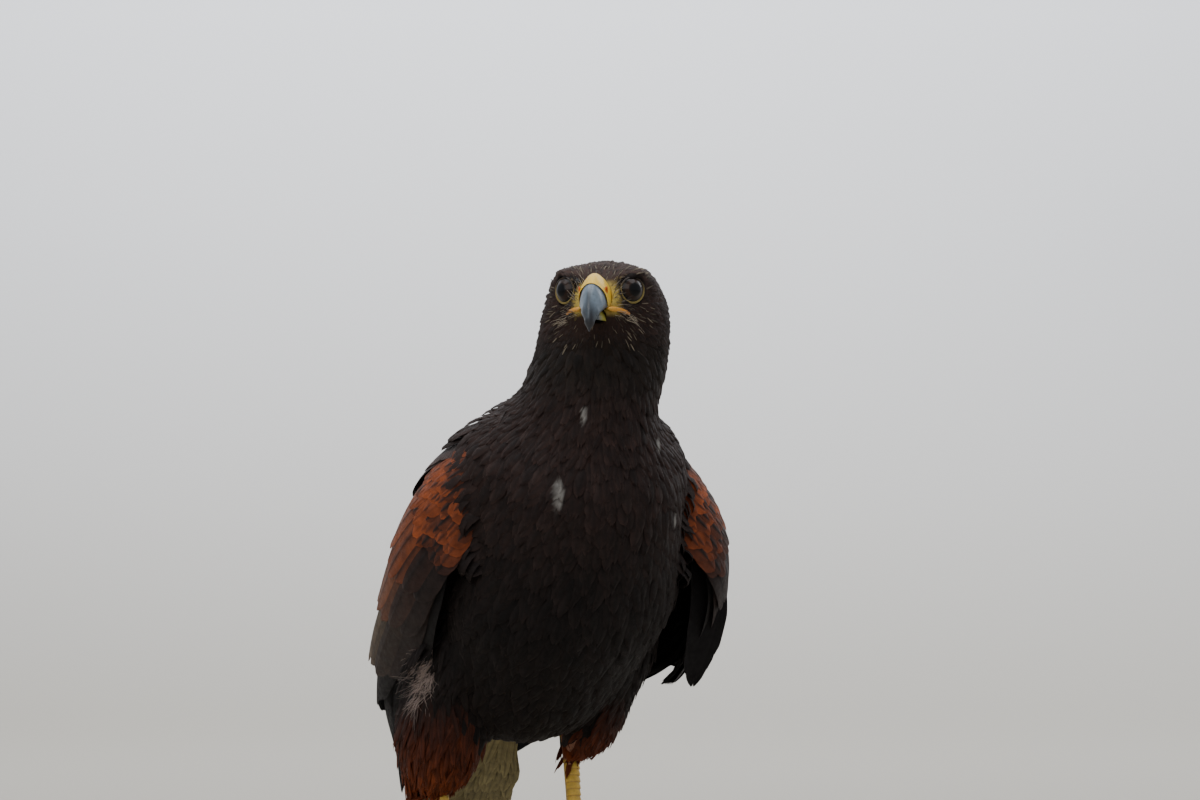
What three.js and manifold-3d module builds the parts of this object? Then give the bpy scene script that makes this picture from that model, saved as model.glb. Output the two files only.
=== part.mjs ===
// A Harris hawk standing at rest, as a life-size still model for a display.
// Millimetres, +Z up. The bird faces -Y, its left side is on +X, and it stands on the plane z = 0.
// The body is a blend of named rounded masses, and each part is cut from that one form or cut to fit it.
import * as THREE from "three";
import Module from "manifold-3d";
import { mergeVertices } from "three/addons/utils/BufferGeometryUtils.js";

const wasm = await Module();
wasm.setup();
const { Manifold, Mesh } = wasm;

// Driving dimensions
const GAP = 0.3; // clearance between neighbouring parts
const BODY_YAW = 22; // degrees that the trunk is turned to the bird's left
const BODY_LEAN = 0.085; // sideways lean of the trunk, mm per mm of height
const BODY_SHIFT = -7; // sideways place of the trunk's middle plane at floor level
const HEAD_AT = [48.2, -66, 304.5]; // middle of the head
const HEAD_YAW = -8; // degrees that the head is turned to the bird's right
const HEAD_PITCH = 2; // degrees that the bill points down
const TAIL_LENGTH = 222;
const TAIL_ROOT = [7, 46, 101];
const TAIL_TURN = 8; // degrees that the tail swings to the bird's left
const TAIL_PITCH_ROOT = 34; // degrees below level where the tail leaves the rump
const TAIL_TIP_HEIGHT = 5; // height of the tail sheet where its end rests on the floor
const TAIL_PITCH_TIP = 15; // degrees below level where its end rests on the floor
const TARSUS_RADIUS = 4.3;
const EYE_RADIUS = 8.3;
const EYE_AT = [13.6, -16.5, 9.2]; // in the head's own frame, on the left
const EYE_TURN = 40; // degrees that an eye looks outwards
const FLOOR_SINK = 0.7; // depth taken off each pad, so that it stands on a small flat

const COLOURS = {
  umber: { color: 0x2b201b, roughness: 0.85 },
  rufous: { color: 0x7a3a1c, roughness: 0.85 },
  black: { color: 0x15110f, roughness: 0.7 },
  cream: { color: 0xcfc9b2, roughness: 0.9 },
  yellow: { color: 0xd9a12c, roughness: 0.55 },
  horn: { color: 0x5d6a74, roughness: 0.35 },
  claw: { color: 0x17161a, roughness: 0.3 },
  eye: { color: 0x1a0d07, roughness: 0.08 },
};

// Frames
const radians = THREE.MathUtils.degToRad;
const vec = (x, y, z) => new THREE.Vector3(x, y, z);

// The trunk's frame: turned about the feet, and sheared a little sideways as it rises.
function bodyPoint(x, y, z) {
  const a = radians(BODY_YAW);
  const across = x * Math.cos(a) - y * Math.sin(a);
  const along = x * Math.sin(a) + y * Math.cos(a);
  return vec(BODY_SHIFT + across + BODY_LEAN * z, along, z);
}

function toBody(p) {
  const a = radians(BODY_YAW);
  const u = p.x - BODY_SHIFT - BODY_LEAN * p.z;
  return vec(u * Math.cos(a) + p.y * Math.sin(a), p.y * Math.cos(a) - u * Math.sin(a), p.z);
}

const headFrame = new THREE.Matrix4()
  .makeTranslation(...HEAD_AT)
  .multiply(new THREE.Matrix4().makeRotationZ(radians(HEAD_YAW)))
  .multiply(new THREE.Matrix4().makeRotationX(radians(HEAD_PITCH)));
const headInverse = headFrame.clone().invert();
const headPoint = (x, y, z) => vec(x, y, z).applyMatrix4(headFrame);
const toHead = (p) => p.clone().applyMatrix4(headInverse);

// Rounded masses: each is an ellipsoid at a place, with three radii and a forward tilt in degrees.
function mass(at, radii, tilt = 0) {
  const turn = new THREE.Matrix4().makeRotationX(radians(tilt));
  const frame = new THREE.Matrix4().makeTranslation(...at).multiply(turn);
  return { inverse: frame.invert(), radii: vec(...radii) };
}

function massDistance(m, p) {
  const q = p.clone().applyMatrix4(m.inverse);
  const k0 = vec(q.x / m.radii.x, q.y / m.radii.y, q.z / m.radii.z).length();
  const k1 = vec(q.x / m.radii.x ** 2, q.y / m.radii.y ** 2, q.z / m.radii.z ** 2).length();
  return k1 < 1e-9 ? -Math.min(m.radii.x, m.radii.y, m.radii.z) : (k0 * (k0 - 1)) / k1;
}

function blend(a, b, reach) {
  const h = Math.max(reach - Math.abs(a - b), 0) / reach;
  return Math.min(a, b) - (h * h * reach) / 4;
}

const blendAll = (masses, p, reach) =>
  masses.reduce((d, m) => (d === null ? massDistance(m, p) : blend(d, massDistance(m, p), reach)), null);

const pair = (at, radii, tilt) => [mass(at, radii, tilt), mass([-at[0], at[1], at[2]], radii, tilt)];

const trunkMasses = [
  mass([1, -60, 204], [55, 45, 52], 26), // breast
  mass([5, -38, 163], [63, 49, 58], 36), // belly
  mass([6, -6, 124], [52, 40, 47], 48), // lower belly
  mass([0, -30, 212], [44, 38, 50], 34), // mantle
  mass([4, 14, 158], [34, 34, 60], 50), // back
  mass([6, 30, 126], [34, 28, 52], 58), // rump
  mass([-1, -60, 254], [30, 37, 42], 12), // neck
  mass([0, -76, 258], [25, 22, 34], 6), // crop
  ...pair([38, -46, 225], [25, 28, 26], 30), // shoulders
];

const headMasses = [
  mass([0, 6, 0.5], [30.5, 31, 24.5]), // skull
  mass([0, -17, -1], [16, 20, 15]), // face
  ...pair([13, 6, -13], [19.5, 25, 23]), // cheeks
  ...pair([17.4, -9, 15], [8.6, 15, 5.4], -7), // brow ridges
  mass([0, -12, -18], [15, 19, 13]), // throat
  mass([0, 10, -27], [29, 29, 24]), // hind neck
];

const TRUNK_REACH = 20;
const HEAD_REACH = 8;
const NECK_REACH = 16;
const trunkField = (p) => blendAll(trunkMasses, toBody(p), TRUNK_REACH);
const headField = (p) => blendAll(headMasses, toHead(p), HEAD_REACH);
const birdField = (p) => blend(trunkField(p), headField(p), NECK_REACH);

// Solids and meshes
function solidOf(points, faces) {
  const vertProperties = new Float32Array(points.flatMap((p) => [p.x, p.y, p.z]));
  const build = (order) =>
    new Manifold(new Mesh({ numProp: 3, vertProperties, triVerts: new Uint32Array(order.flat()) }));
  const made = build(faces);
  return made.volume() > 0 ? made : build(faces.map(([a, b, c]) => [a, c, b]));
}

// A closed skin over rings of points, with one point closing each end.
function ringSolid(rings, first, last) {
  const n = rings[0].length;
  const points = [...rings.flat(), first, last];
  const start = points.length - 2;
  const faces = [];
  for (let k = 0; k < n; k++) {
    const next = (k + 1) % n;
    faces.push([start, next, k]);
    for (let i = 0; i + 1 < rings.length; i++) {
      const a = i * n;
      faces.push([a + k, a + next, a + n + k], [a + next, a + n + next, a + n + k]);
    }
    const end = (rings.length - 1) * n;
    faces.push([start + 1, end + k, end + next]);
  }
  return solidOf(points, faces);
}

// A closed plate between two grids of points that have the same rows and columns.
function plateSolid(top, bottom) {
  const rows = top.length;
  const columns = top[0].length;
  const points = [...top.flat(), ...bottom.flat()];
  const under = rows * columns;
  const at = (i, k) => i * columns + k;
  const faces = [];
  const quad = (a, b, c, d) => faces.push([a, b, c], [a, c, d]);
  for (let i = 0; i + 1 < rows; i++) {
    for (let k = 0; k + 1 < columns; k++) {
      const corners = [at(i, k), at(i + 1, k), at(i + 1, k + 1), at(i, k + 1)];
      quad(...corners);
      const [a, b, c, d] = corners.map((corner) => corner + under);
      faces.push([a, c, b], [a, d, c]);
    }
    for (const [a, b] of [[at(i + 1, 0), at(i, 0)], [at(i, columns - 1), at(i + 1, columns - 1)]]) {
      quad(a, b, b + under, a + under);
    }
  }
  for (let k = 0; k + 1 < columns; k++) {
    for (const [a, b] of [[at(0, k), at(0, k + 1)], [at(rows - 1, k + 1), at(rows - 1, k)]]) {
      quad(a, b, b + under, a + under);
    }
  }
  return solidOf(points, faces);
}

function solidFromGeometry(geometry, matrix = new THREE.Matrix4()) {
  const bare = geometry.clone().applyMatrix4(matrix);
  bare.deleteAttribute("normal");
  bare.deleteAttribute("uv");
  const merged = mergeVertices(bare, 1e-4);
  return new Manifold(
    new Mesh({
      numProp: 3,
      vertProperties: merged.attributes.position.array,
      triVerts: new Uint32Array(merged.index.array),
    }),
  );
}

const joined = (solids) => solids.reduce((a, b) => a.add(b));
const cutBy = (solid, tools) => tools.reduce((a, b) => a.subtract(b), solid);
const largest = (solid) => solid.decompose().reduce((a, b) => (b.volume() > a.volume() ? b : a));

// A large block whose one face passes through a point and that fills the side its normal points to.
function sideOf(point, normal) {
  const size = 900;
  const turn = new THREE.Quaternion().setFromUnitVectors(vec(0, 0, 1), normal.clone().normalize());
  const centre = point.clone().addScaledVector(normal.clone().normalize(), size / 2);
  const frame = new THREE.Matrix4().compose(centre, turn, vec(1, 1, 1));
  return solidFromGeometry(new THREE.BoxGeometry(size, size, size), frame);
}
const belowFloor = sideOf(vec(0, 0, 0), vec(0, 0, -1));

// The place where a ray from inside a field comes out of it, grown by a clearance.
function surfacePoint(field, from, direction, grow = 0) {
  const STEP = 2.5;
  const REFINE = 14;
  const at = (t) => from.clone().addScaledVector(direction, t);
  let far = 0;
  while (field(at(far)) < grow && far < 160) far += STEP;
  let near = Math.max(far - STEP, 0);
  for (let i = 0; i < REFINE; i++) {
    const middle = (near + far) / 2;
    if (field(at(middle)) < grow) near = middle;
    else far = middle;
  }
  return at((near + far) / 2);
}

// A skin cast outwards from a line of points: rings across the line, and part-rings round both its ends.
function castAlong(field, line, rings, sides, ends, grow = 0) {
  const across = bodyPoint(1, 0, 0).sub(bodyPoint(0, 0, 0)).normalize();
  const stations = [];
  for (let i = 0; i <= rings; i++) {
    const at = line.getPoint(i / rings);
    stations.push({ at, along: line.getTangent(i / rings), rise: 0 });
  }
  const head = stations[0];
  const foot = stations[stations.length - 1];
  const capped = [];
  for (let i = 1; i <= ends; i++) capped.push({ ...head, rise: -90 + (90 * i) / (ends + 1) });
  capped.push(...stations);
  for (let i = 1; i <= ends; i++) capped.push({ ...foot, rise: (90 * i) / (ends + 1) });
  const ringPoints = capped.map(({ at, along, rise }) => {
    const front = vec(0, 0, 0).crossVectors(along, across).normalize();
    const side = vec(0, 0, 0).crossVectors(front, along).normalize();
    const ring = [];
    for (let k = 0; k < sides; k++) {
      const a = (2 * Math.PI * k) / sides;
      const flat = side.clone().multiplyScalar(Math.cos(a)).addScaledVector(front, Math.sin(a));
      const r = radians(rise);
      const direction = flat.multiplyScalar(Math.cos(r)).addScaledVector(along, Math.sin(r));
      ring.push(surfacePoint(field, at, direction, grow));
    }
    return ring;
  });
  const first = surfacePoint(field, head.at, head.along.clone().negate(), grow);
  const last = surfacePoint(field, foot.at, foot.along, grow);
  return ringSolid(ringPoints, first, last);
}

// A skin cast outwards from one point, finer towards the front pole.
function castRound(field, frame, rings, sides, frontPull) {
  const origin = vec(0, 0, 0).applyMatrix4(frame);
  const towards = (polar, around) =>
    vec(
      Math.sin(polar) * Math.cos(around),
      -Math.cos(polar),
      Math.sin(polar) * Math.sin(around),
    ).transformDirection(frame);
  const ringPoints = [];
  for (let i = 1; i < rings; i++) {
    const share = i / rings;
    const polar = Math.PI * (share - (frontPull * Math.sin(Math.PI * share)) / Math.PI);
    const ring = [];
    for (let k = 0; k < sides; k++) {
      ring.push(surfacePoint(field, origin, towards(polar, (2 * Math.PI * k) / sides)));
    }
    ringPoints.push(ring);
  }
  return ringSolid(
    ringPoints,
    surfacePoint(field, origin, towards(0, 0)),
    surfacePoint(field, origin, towards(Math.PI, 0)),
  );
}

// A tube of changing radius along a smooth line, with a point closing each end.
function taperedTube(points, radius, { sides = 12, steps = 10, up = vec(0, 0, 1), across = null } = {}) {
  const line = new THREE.CatmullRomCurve3(points, false, "centripetal");
  const rings = [];
  for (let i = 0; i <= steps; i++) {
    const t = i / steps;
    const at = line.getPointAt(t);
    const along = line.getTangentAt(t);
    const side = across ?? vec(0, 0, 0).crossVectors(along, up).normalize();
    const top = vec(0, 0, 0).crossVectors(side, along).normalize();
    const r = radius(t);
    const ring = [];
    for (let k = 0; k < sides; k++) {
      const a = (2 * Math.PI * k) / sides;
      ring.push(
        at
          .clone()
          .addScaledVector(side, r * Math.cos(a))
          .addScaledVector(top, r * Math.sin(a)),
      );
    }
    rings.push(ring);
  }
  const bulge = 0.5;
  const first = line.getPointAt(0).addScaledVector(line.getTangentAt(0), -radius(0) * bulge);
  const last = line.getPointAt(1).addScaledVector(line.getTangentAt(1), radius(1) * bulge);
  return ringSolid(rings, first, last);
}

// A number read off a short list of values, evenly spaced from 0 to 1, with smooth steps between them.
function ease(values, t) {
  const x = THREE.MathUtils.clamp(t, 0, 1) * (values.length - 1);
  const i = Math.min(Math.floor(x), values.length - 2);
  return THREE.MathUtils.lerp(values[i], values[i + 1], THREE.MathUtils.smoothstep(x - i, 0, 1));
}

// Sheets: a folded wing and a tail are surfaces that feathers lie on.
// s runs from root to tip, v from the lower edge at -1 to the upper edge at 1.
function wingSheet(rails, side) {
  const rail = (points) => new THREE.CatmullRomCurve3(points.map((p) => bodyPoint(...p)), false, "centripetal");
  const upper = rail(rails.upper);
  const middle = rail(rails.middle);
  const lower = rail(rails.lower);
  const place = (s, v) => {
    const point = middle.getPoint(s).multiplyScalar(1 - v * v);
    point.addScaledVector(upper.getPoint(s), (v * (v + 1)) / 2);
    return point.addScaledVector(lower.getPoint(s), (v * (v - 1)) / 2);
  };
  return withNormals(place, side);
}

function withNormals(place, turn) {
  const STEP = 0.01;
  const outwards = (s, v) => {
    const s0 = THREE.MathUtils.clamp(s, STEP, 1 - STEP);
    const ds = place(s0 + STEP, v).sub(place(s0 - STEP, v));
    const dv = place(s0, v + STEP).sub(place(s0, v - STEP));
    return vec(0, 0, 0).crossVectors(ds, dv).normalize().multiplyScalar(turn);
  };
  const at = (s, v, layer) => {
    const inside = THREE.MathUtils.clamp(s, 0, 1);
    const beyond = inside === s ? 0 : (s - inside) / STEP;
    const point = place(inside, v).addScaledVector(outwards(inside, v), layer);
    const inward = s > 1 ? place(1, v).sub(place(1 - STEP, v)) : place(STEP, v).sub(place(0, v));
    return point.addScaledVector(inward, beyond);
  };
  return { place, outwards, at };
}

// The bed that a node's feathers are rooted in: a plate over a sheet, as rows of [s, outer layer, inner layer].
// Where the outer layer steps down between two rows, feathers come out of the step.
function bed(sheet, rows, { low, high, across = 5 }) {
  const STEP_LENGTH = 0.004;
  const upper = [];
  const lower = [];
  rows.forEach(([s, outer, inner], i) => {
    const stepped = i > 0 && rows[i - 1][0] === s ? STEP_LENGTH : 0;
    const places = Array.from({ length: across + 1 }, (_, k) => low + ((high - low) * k) / across);
    upper.push(places.map((v) => sheet.at(s + stepped, v, outer)));
    lower.push(places.map((v) => sheet.at(s + stepped, v, inner)));
  });
  return plateSolid(upper, lower);
}

// A seeded draw between -1 and 1, so that like feathers differ a little.
function seeded(seed) {
  let state = seed;
  return () => {
    state = (Math.imul(state, 1664525) + 1013904223) >>> 0;
    return state / 2 ** 31 - 1;
  };
}

const VANE = 0.5; // thickness of a feather
const STACK = 0.8; // height from one long feather to the next
const PRIMARIES = 5;
const SECONDARIES = 5;

// One feather over a sheet: a thin plate with a raised shaft, one edge lower than the other, and a rounded tip.
// root and tip are [s, v]; halfWidth is in mm; layer runs from root to tip; tilt lifts the lower edge of the wing.
const FEATHER_SHAPES = {
  long: { at: [0, 0.3, 0.65, 0.9, 1], width: [0.5, 0.9, 1, 0.75, 0.3], edges: [-1, 0, 1] },
  tail: { at: [0, 0.2, 0.5, 0.85, 0.95, 1], width: [0.3, 0.5, 0.85, 1, 0.75, 0.35], edges: [-1, 0, 1] },
  short: { at: [0, 0.55, 0.85, 1], width: [0.95, 1, 0.85, 0.35], edges: [-1, 0, 1] },
};

function feather(sheet, { root, tip, halfWidth, layer, tilt, shape }) {
  const SHAFT_RISE = 0.12;
  const TIP_THINNING = 0.45;
  const SMALL = 0.01;
  const { at, width, edges } = FEATHER_SHAPES[shape];
  const top = [];
  const bottom = [];
  at.forEach((t, i) => {
    const s = THREE.MathUtils.lerp(root[0], tip[0], t);
    const v = THREE.MathUtils.lerp(root[1], tip[1], t);
    const perShare = sheet.place(s, v + SMALL).distanceTo(sheet.place(s, v - SMALL)) / (2 * SMALL);
    const half = halfWidth * width[i];
    const height = THREE.MathUtils.lerp(layer[0], layer[1], t);
    const deep = VANE * (1 - TIP_THINNING * t * t);
    const across = edges.map((edge) => {
      const rise = edge === 0 ? SHAFT_RISE : -tilt * edge * half;
      return [v + (edge * half) / perShare, height + rise];
    });
    top.push(across.map(([place, rise]) => sheet.at(s, place, rise)));
    bottom.push(across.map(([place, rise]) => sheet.at(s, place, rise - deep)));
  });
  return plateSolid(top, bottom);
}

// A row of feathers side by side, from its lowest at share 0 to its highest at share 1.
function featherRow(sheet, count, seed, describe) {
  const draw = seeded(seed);
  return Array.from({ length: count }, (_, i) => feather(sheet, describe(i / Math.max(count - 1, 1), draw, i)));
}

// Trunk, neck and head
const spine = new THREE.CatmullRomCurve3([
  bodyPoint(-2, -66, 262),
  bodyPoint(0, -60, 225),
  bodyPoint(0, -44, 180),
  bodyPoint(0, -14, 140),
  bodyPoint(0, 28, 118),
]);
const headTop = headPoint(0, 0, 0);
const NECK_TOP = headPoint(0, 8, -27);
const NECK_TOP_AXIS = headPoint(0, 0.24, 1).sub(headTop).normalize();
const NECK_BASE = bodyPoint(0, -64, 240);
const NECK_BASE_AXIS = bodyPoint(0, -0.42, 1).sub(bodyPoint(0, 0, 0)).normalize();
const halfGap = GAP / 2;
const above = (point, axis) => sideOf(point.clone().addScaledVector(axis, -halfGap), axis);
const below = (point, axis) => sideOf(point.clone().addScaledVector(axis, halfGap), axis.clone().negate());

const trunkRings = 16;
const trunkSides = 26;
const trunkEnds = 3;
const trunkAndNeck = castAlong(birdField, spine, trunkRings, trunkSides, trunkEnds);
const trunkSpace = castAlong(birdField, spine, trunkRings, trunkSides, trunkEnds, GAP);

// Head details
const HEAD_REACH_LIMIT = 56;
const eyePoint = (side) => headPoint(side * EYE_AT[0], EYE_AT[1], EYE_AT[2]);
const eyeAxis = (side) => {
  const a = radians(EYE_TURN);
  return headPoint(side * Math.sin(a), -Math.cos(a), 0).sub(headTop).normalize();
};

function eyeball(side, grow = 0) {
  const ball = new THREE.SphereGeometry(EYE_RADIUS + grow, 14, 9);
  return solidFromGeometry(ball, new THREE.Matrix4().setPosition(eyePoint(side)));
}

function lidRing(side) {
  const LID_RADIUS = 6.7;
  const LID_THICKNESS = 1.15;
  const LID_FORWARD = 5.3;
  const ring = new THREE.TorusGeometry(LID_RADIUS, LID_THICKNESS, 5, 16);
  const turn = new THREE.Quaternion().setFromUnitVectors(vec(0, 0, 1), eyeAxis(side));
  const at = eyePoint(side).addScaledVector(eyeAxis(side), LID_FORWARD);
  return solidFromGeometry(ring, new THREE.Matrix4().compose(at, turn, vec(1, 1.02, 1)));
}

// The bill is lofted between its ridge line and its cutting edge, in the head's middle plane.
const BILL = {
  ridge: [[-27, 16], [-35, 16.6], [-42, 15], [-49, 10.2], [-54, 3], [-56, -5], [-55.4, -12]],
  edge: [[-24, 1.5], [-32, 0.8], [-39, 0.2], [-45, -1], [-49.6, -3.4], [-53, -8], [-54.8, -12.4]],
  halfWidth: [7.6, 7.3, 6.9, 6.1, 4.6, 2.5, 0.35],
};

function planeCurve(points) {
  return new THREE.CatmullRomCurve3(points.map(([y, z]) => vec(0, y, z)), false, "centripetal");
}

function billLoft({ ridge, edge, halfWidth }, grow = 0, steps = 11) {
  const ARCH_STEPS = 7;
  const top = planeCurve(ridge);
  const bottom = planeCurve(edge);
  const rings = [];
  for (let i = 0; i <= steps; i++) {
    const t = i / steps;
    const a = top.getPoint(t);
    const b = bottom.getPoint(t);
    const up = a.clone().sub(b);
    const height = up.length();
    up.normalize();
    const width = ease(halfWidth, t) + grow;
    const ring = [];
    for (let k = 0; k <= ARCH_STEPS; k++) {
      const angle = (Math.PI * k) / ARCH_STEPS;
      const rise = (height + grow) * Math.sin(angle) ** 0.8;
      const p = b.clone().addScaledVector(up, rise - (k === 0 || k === ARCH_STEPS ? grow : 0));
      ring.push(headPoint(width * Math.cos(angle), p.y, p.z));
    }
    const hollow = b.clone().addScaledVector(up, -grow);
    ring.push(headPoint(0, hollow.y, hollow.z));
    rings.push(ring);
  }
  const centre = (ring) => ring.reduce((a, b) => a.add(b), vec(0, 0, 0)).multiplyScalar(1 / ring.length);
  return ringSolid(rings, centre(rings[0]), centre(rings[rings.length - 1]));
}

const LOWER_BILL = {
  ridge: [[-22, 0.2], [-30, 0.2], [-38, -0.2], [-44, -1.7], [-48, -4.2]],
  edge: [[-22, -7], [-30, -6.8], [-38, -6.6], [-44, -6.4], [-47.4, -6]],
  halfWidth: [6.2, 5.8, 5, 3.8, 1.4],
};

// The yellow lips run back from the bill below the eye.
function lip(side, grow = 0) {
  const path = [[6.6, -34, -1], [10, -30.5, -0.9], [13.4, -25.6, -2], [16, -19.6, -4.4]];
  return taperedTube(
    path.map(([x, y, z]) => headPoint(side * x, y, z)),
    (t) => ease([1.9, 1.7, 1.5, 0.8], t) + grow,
    { sides: 7, steps: 5 },
  );
}

function nostril(side) {
  const slot = new THREE.SphereGeometry(1, 8, 6);
  const turn = new THREE.Matrix4().makeRotationX(radians(20));
  const size = new THREE.Matrix4().makeScale(1.5, 1.25, 1.9);
  const frame = headFrame.clone().multiply(new THREE.Matrix4().makeTranslation(side * 6.6, -38.6, 9.2));
  return solidFromGeometry(slot, frame.multiply(turn).multiply(size));
}

const cereFront = headPoint(0, -42.4, 10);
const cereAxis = headPoint(0, -1, 0.12).sub(headTop).normalize();
const upperBill = billLoft(BILL);
const cere = cutBy(
  joined([cutBy(upperBill, [above(cereFront, cereAxis)]), lip(1), lip(-1)]),
  [nostril(1), nostril(-1)],
);
const hook = largest(cutBy(upperBill, [below(cereFront, cereAxis), lip(1, GAP), lip(-1, GAP)]));
const lowerBill = largest(cutBy(billLoft(LOWER_BILL, 0, 6), [lip(1, GAP), lip(-1, GAP)]));
const billSpace = [billLoft(BILL, GAP), billLoft(LOWER_BILL, GAP, 6), lip(1, GAP), lip(-1, GAP)];

const headBound = (p) => Math.max(birdField(p), p.distanceTo(headTop) - HEAD_REACH_LIMIT);
const headRings = 16;
const headSides = 26;
const skull = castRound(headBound, headFrame, headRings, headSides, 0.8);
const head = largest(
  cutBy(joined([skull, lidRing(1), lidRing(-1)]), [
    below(NECK_TOP, NECK_TOP_AXIS),
    eyeball(1, GAP),
    eyeball(-1, GAP),
    ...billSpace,
  ]),
);
const neck = largest(cutBy(trunkAndNeck, [above(NECK_TOP, NECK_TOP_AXIS), below(NECK_BASE, NECK_BASE_AXIS)]));

// Wings
const WING_RAILS = {
  left: {
    upper: [[38, -50, 250], [38, -16, 240], [18, 42, 196], [15, 94, 142], [23, 142, 95], [31, 186, 52]],
    middle: [[54, -62, 230], [88, -38, 204], [96, 16, 156], [82, 68, 112], [58, 124, 78], [38, 192, 44]],
    lower: [[50, -64, 202], [86, -58, 160], [92, -16, 114], [78, 36, 92], [62, 100, 62], [42, 188, 36]],
  },
  right: {
    upper: [[-38, -50, 254], [-38, -16, 243], [-10, 42, 196], [4, 94, 142], [8, 144, 95], [6, 186, 52]],
    middle: [[-54, -62, 232], [-79, -34, 206], [-74, 22, 160], [-57, 76, 114], [-28, 132, 76], [-4, 190, 44]],
    lower: [[-50, -64, 204], [-70, -56, 166], [-68, -6, 122], [-54, 58, 84], [-30, 124, 56], [-8, 184, 36]],
  },
};
const sheets = { 1: wingSheet(WING_RAILS.left, 1), [-1]: wingSheet(WING_RAILS.right, -1) };

// Flight feathers: the long primaries lie below, and the secondaries over them. Each lies clear of the next.
const FLIGHT_TOP = -6.6; // layer of the highest flight feather, under the coverts' bed
function flightFeathers(side) {
  const sheet = sheets[side];
  const bottom = FLIGHT_TOP - STACK * (PRIMARIES + SECONDARIES) - 0.4;
  const depths = [[0.2, -9], [0.28, -11], [0.36, bottom], [0.44, bottom]];
  const core = bed(sheet, depths.map(([s, inner]) => [s, FLIGHT_TOP, inner]), { low: -0.88, high: 0.88 });
  const primaries = featherRow(sheet, PRIMARIES, 11 + side, (share, draw, i) => {
    const height = FLIGHT_TOP - STACK * (PRIMARIES + SECONDARIES - i) + 0.1;
    return {
      root: [0.4, ease([-0.74, -0.3, 0.1], share)],
      tip: [ease([0.85, 0.96, 0.985, 0.92, 0.86], share) + 0.006 * draw(), ease([-0.5, -0.02, 0.4], share)],
      halfWidth: 12,
      layer: [height, height + 1.6],
      tilt: 0,
      shape: "long",
    };
  });
  const secondaries = featherRow(sheet, SECONDARIES, 23 + side, (share, draw, i) => {
    const height = FLIGHT_TOP - STACK * (SECONDARIES - i) + 0.1;
    return {
      root: [0.4, ease([-0.5, 0.15, 0.72], share)],
      tip: [ease([0.6, 0.69, 0.75], share) + 0.01 * draw(), ease([-0.52, 0.12, 0.7], share)],
      halfWidth: 12.5,
      layer: [height, height + 1.6],
      tilt: 0,
      shape: "long",
    };
  });
  return joined([core, ...primaries, ...secondaries]);
}

// Coverts: greater, median and lesser rows, each over the roots of the row behind it.
const COVERT_ROWS = [
  { count: 5, seed: 31, step: 0.3, tip: 0.45, reach: 0.05, layer: -3.8 },
  { count: 5, seed: 37, step: 0.19, tip: 0.33, reach: 0.035, layer: -1.8 },
  { count: 4, seed: 43, step: 0.08, tip: 0.21, reach: 0.025, layer: 0.2 },
];
const COVERT_SPAN = 86; // sum of a row's half-widths
function covertFeathers(side) {
  const sheet = sheets[side];
  const rows = COVERT_ROWS.flatMap(({ count, seed, step, tip, reach, layer }) =>
    featherRow(sheet, count, seed + side, (share, draw) => {
      const v = THREE.MathUtils.lerp(-0.84, 0.84, share);
      return {
        root: [step - 0.025, v],
        tip: [tip + reach * (1 - (2 * share - 1) ** 2) + 0.008 * draw(), v * 0.98],
        halfWidth: (COVERT_SPAN / count) * (1 + 0.03 * draw()),
        layer: [layer, layer],
        tilt: 0.035,
        shape: "short",
      };
    }),
  );
  const [greater, median, lesser] = COVERT_ROWS;
  const top = (tier) => tier.layer + 0.8;
  const core = bed(
    sheet,
    [
      [0, -3, -12],
      [0.04, top(lesser), -8],
      [lesser.step, top(lesser), -6],
      [lesser.step, top(median), -6],
      [(lesser.step + median.step) / 2, top(median), -6],
      [median.step, top(median), -6],
      [median.step, top(greater), -6],
      [(median.step + greater.step) / 2, top(greater), -6],
      [greater.step, top(greater), -6],
    ],
    { low: -0.9, high: 0.9 },
  );
  return joined([core, ...rows]);
}

// The room that the wing's own feathers take below the scapulars.
function shoulderSpace(side) {
  const CLEAR = 1.7;
  const rows = [[-0.02, CLEAR - 1, -14], ...[0.08, 0.2, 0.32, 0.44, 0.52].map((s) => [s, CLEAR, -14])];
  return bed(sheets[side], rows, { low: -1.02, high: 1.04 });
}

// The other side of the back's middle plane.
function acrossBack(side) {
  const across = bodyPoint(-side, 0, 0).sub(bodyPoint(0, 0, 0));
  return sideOf(bodyPoint((side * GAP) / 2, 0, 0), across);
}

// Scapulars: rounded feathers from the shoulder over the top of the folded wing.
const SCAPULAR_ROWS = [
  { seed: 53, step: 0.27, tip: 0.4, layer: 2.4 },
  { seed: 57, step: 0.13, tip: 0.28, layer: 4 },
];
function scapulars(side) {
  const sheet = sheets[side];
  const [back, front] = SCAPULAR_ROWS;
  const core = bed(
    sheet,
    [
      [0.03, 2.5, 0],
      [0.08, front.layer + 0.5, 0],
      [front.step, front.layer + 0.5, 0],
      [front.step, back.layer + 0.5, 0],
      [back.step, back.layer + 0.5, 0],
    ],
    { low: 0.6, high: 1.22, across: 3 },
  );
  const rows = SCAPULAR_ROWS.flatMap(({ seed, step, tip, layer }) =>
    featherRow(sheet, 3, seed + side, (share, draw) => {
      const v = THREE.MathUtils.lerp(0.68, 1.16, share);
      return {
        root: [step - 0.03, v],
        tip: [tip + 0.04 * Math.sin(Math.PI * share) + 0.01 * draw(), v * 0.97],
        halfWidth: 10,
        layer: [layer, layer],
        tilt: 0.05,
        shape: "short",
      };
    }),
  );
  return joined([core, ...rows]);
}

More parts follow.
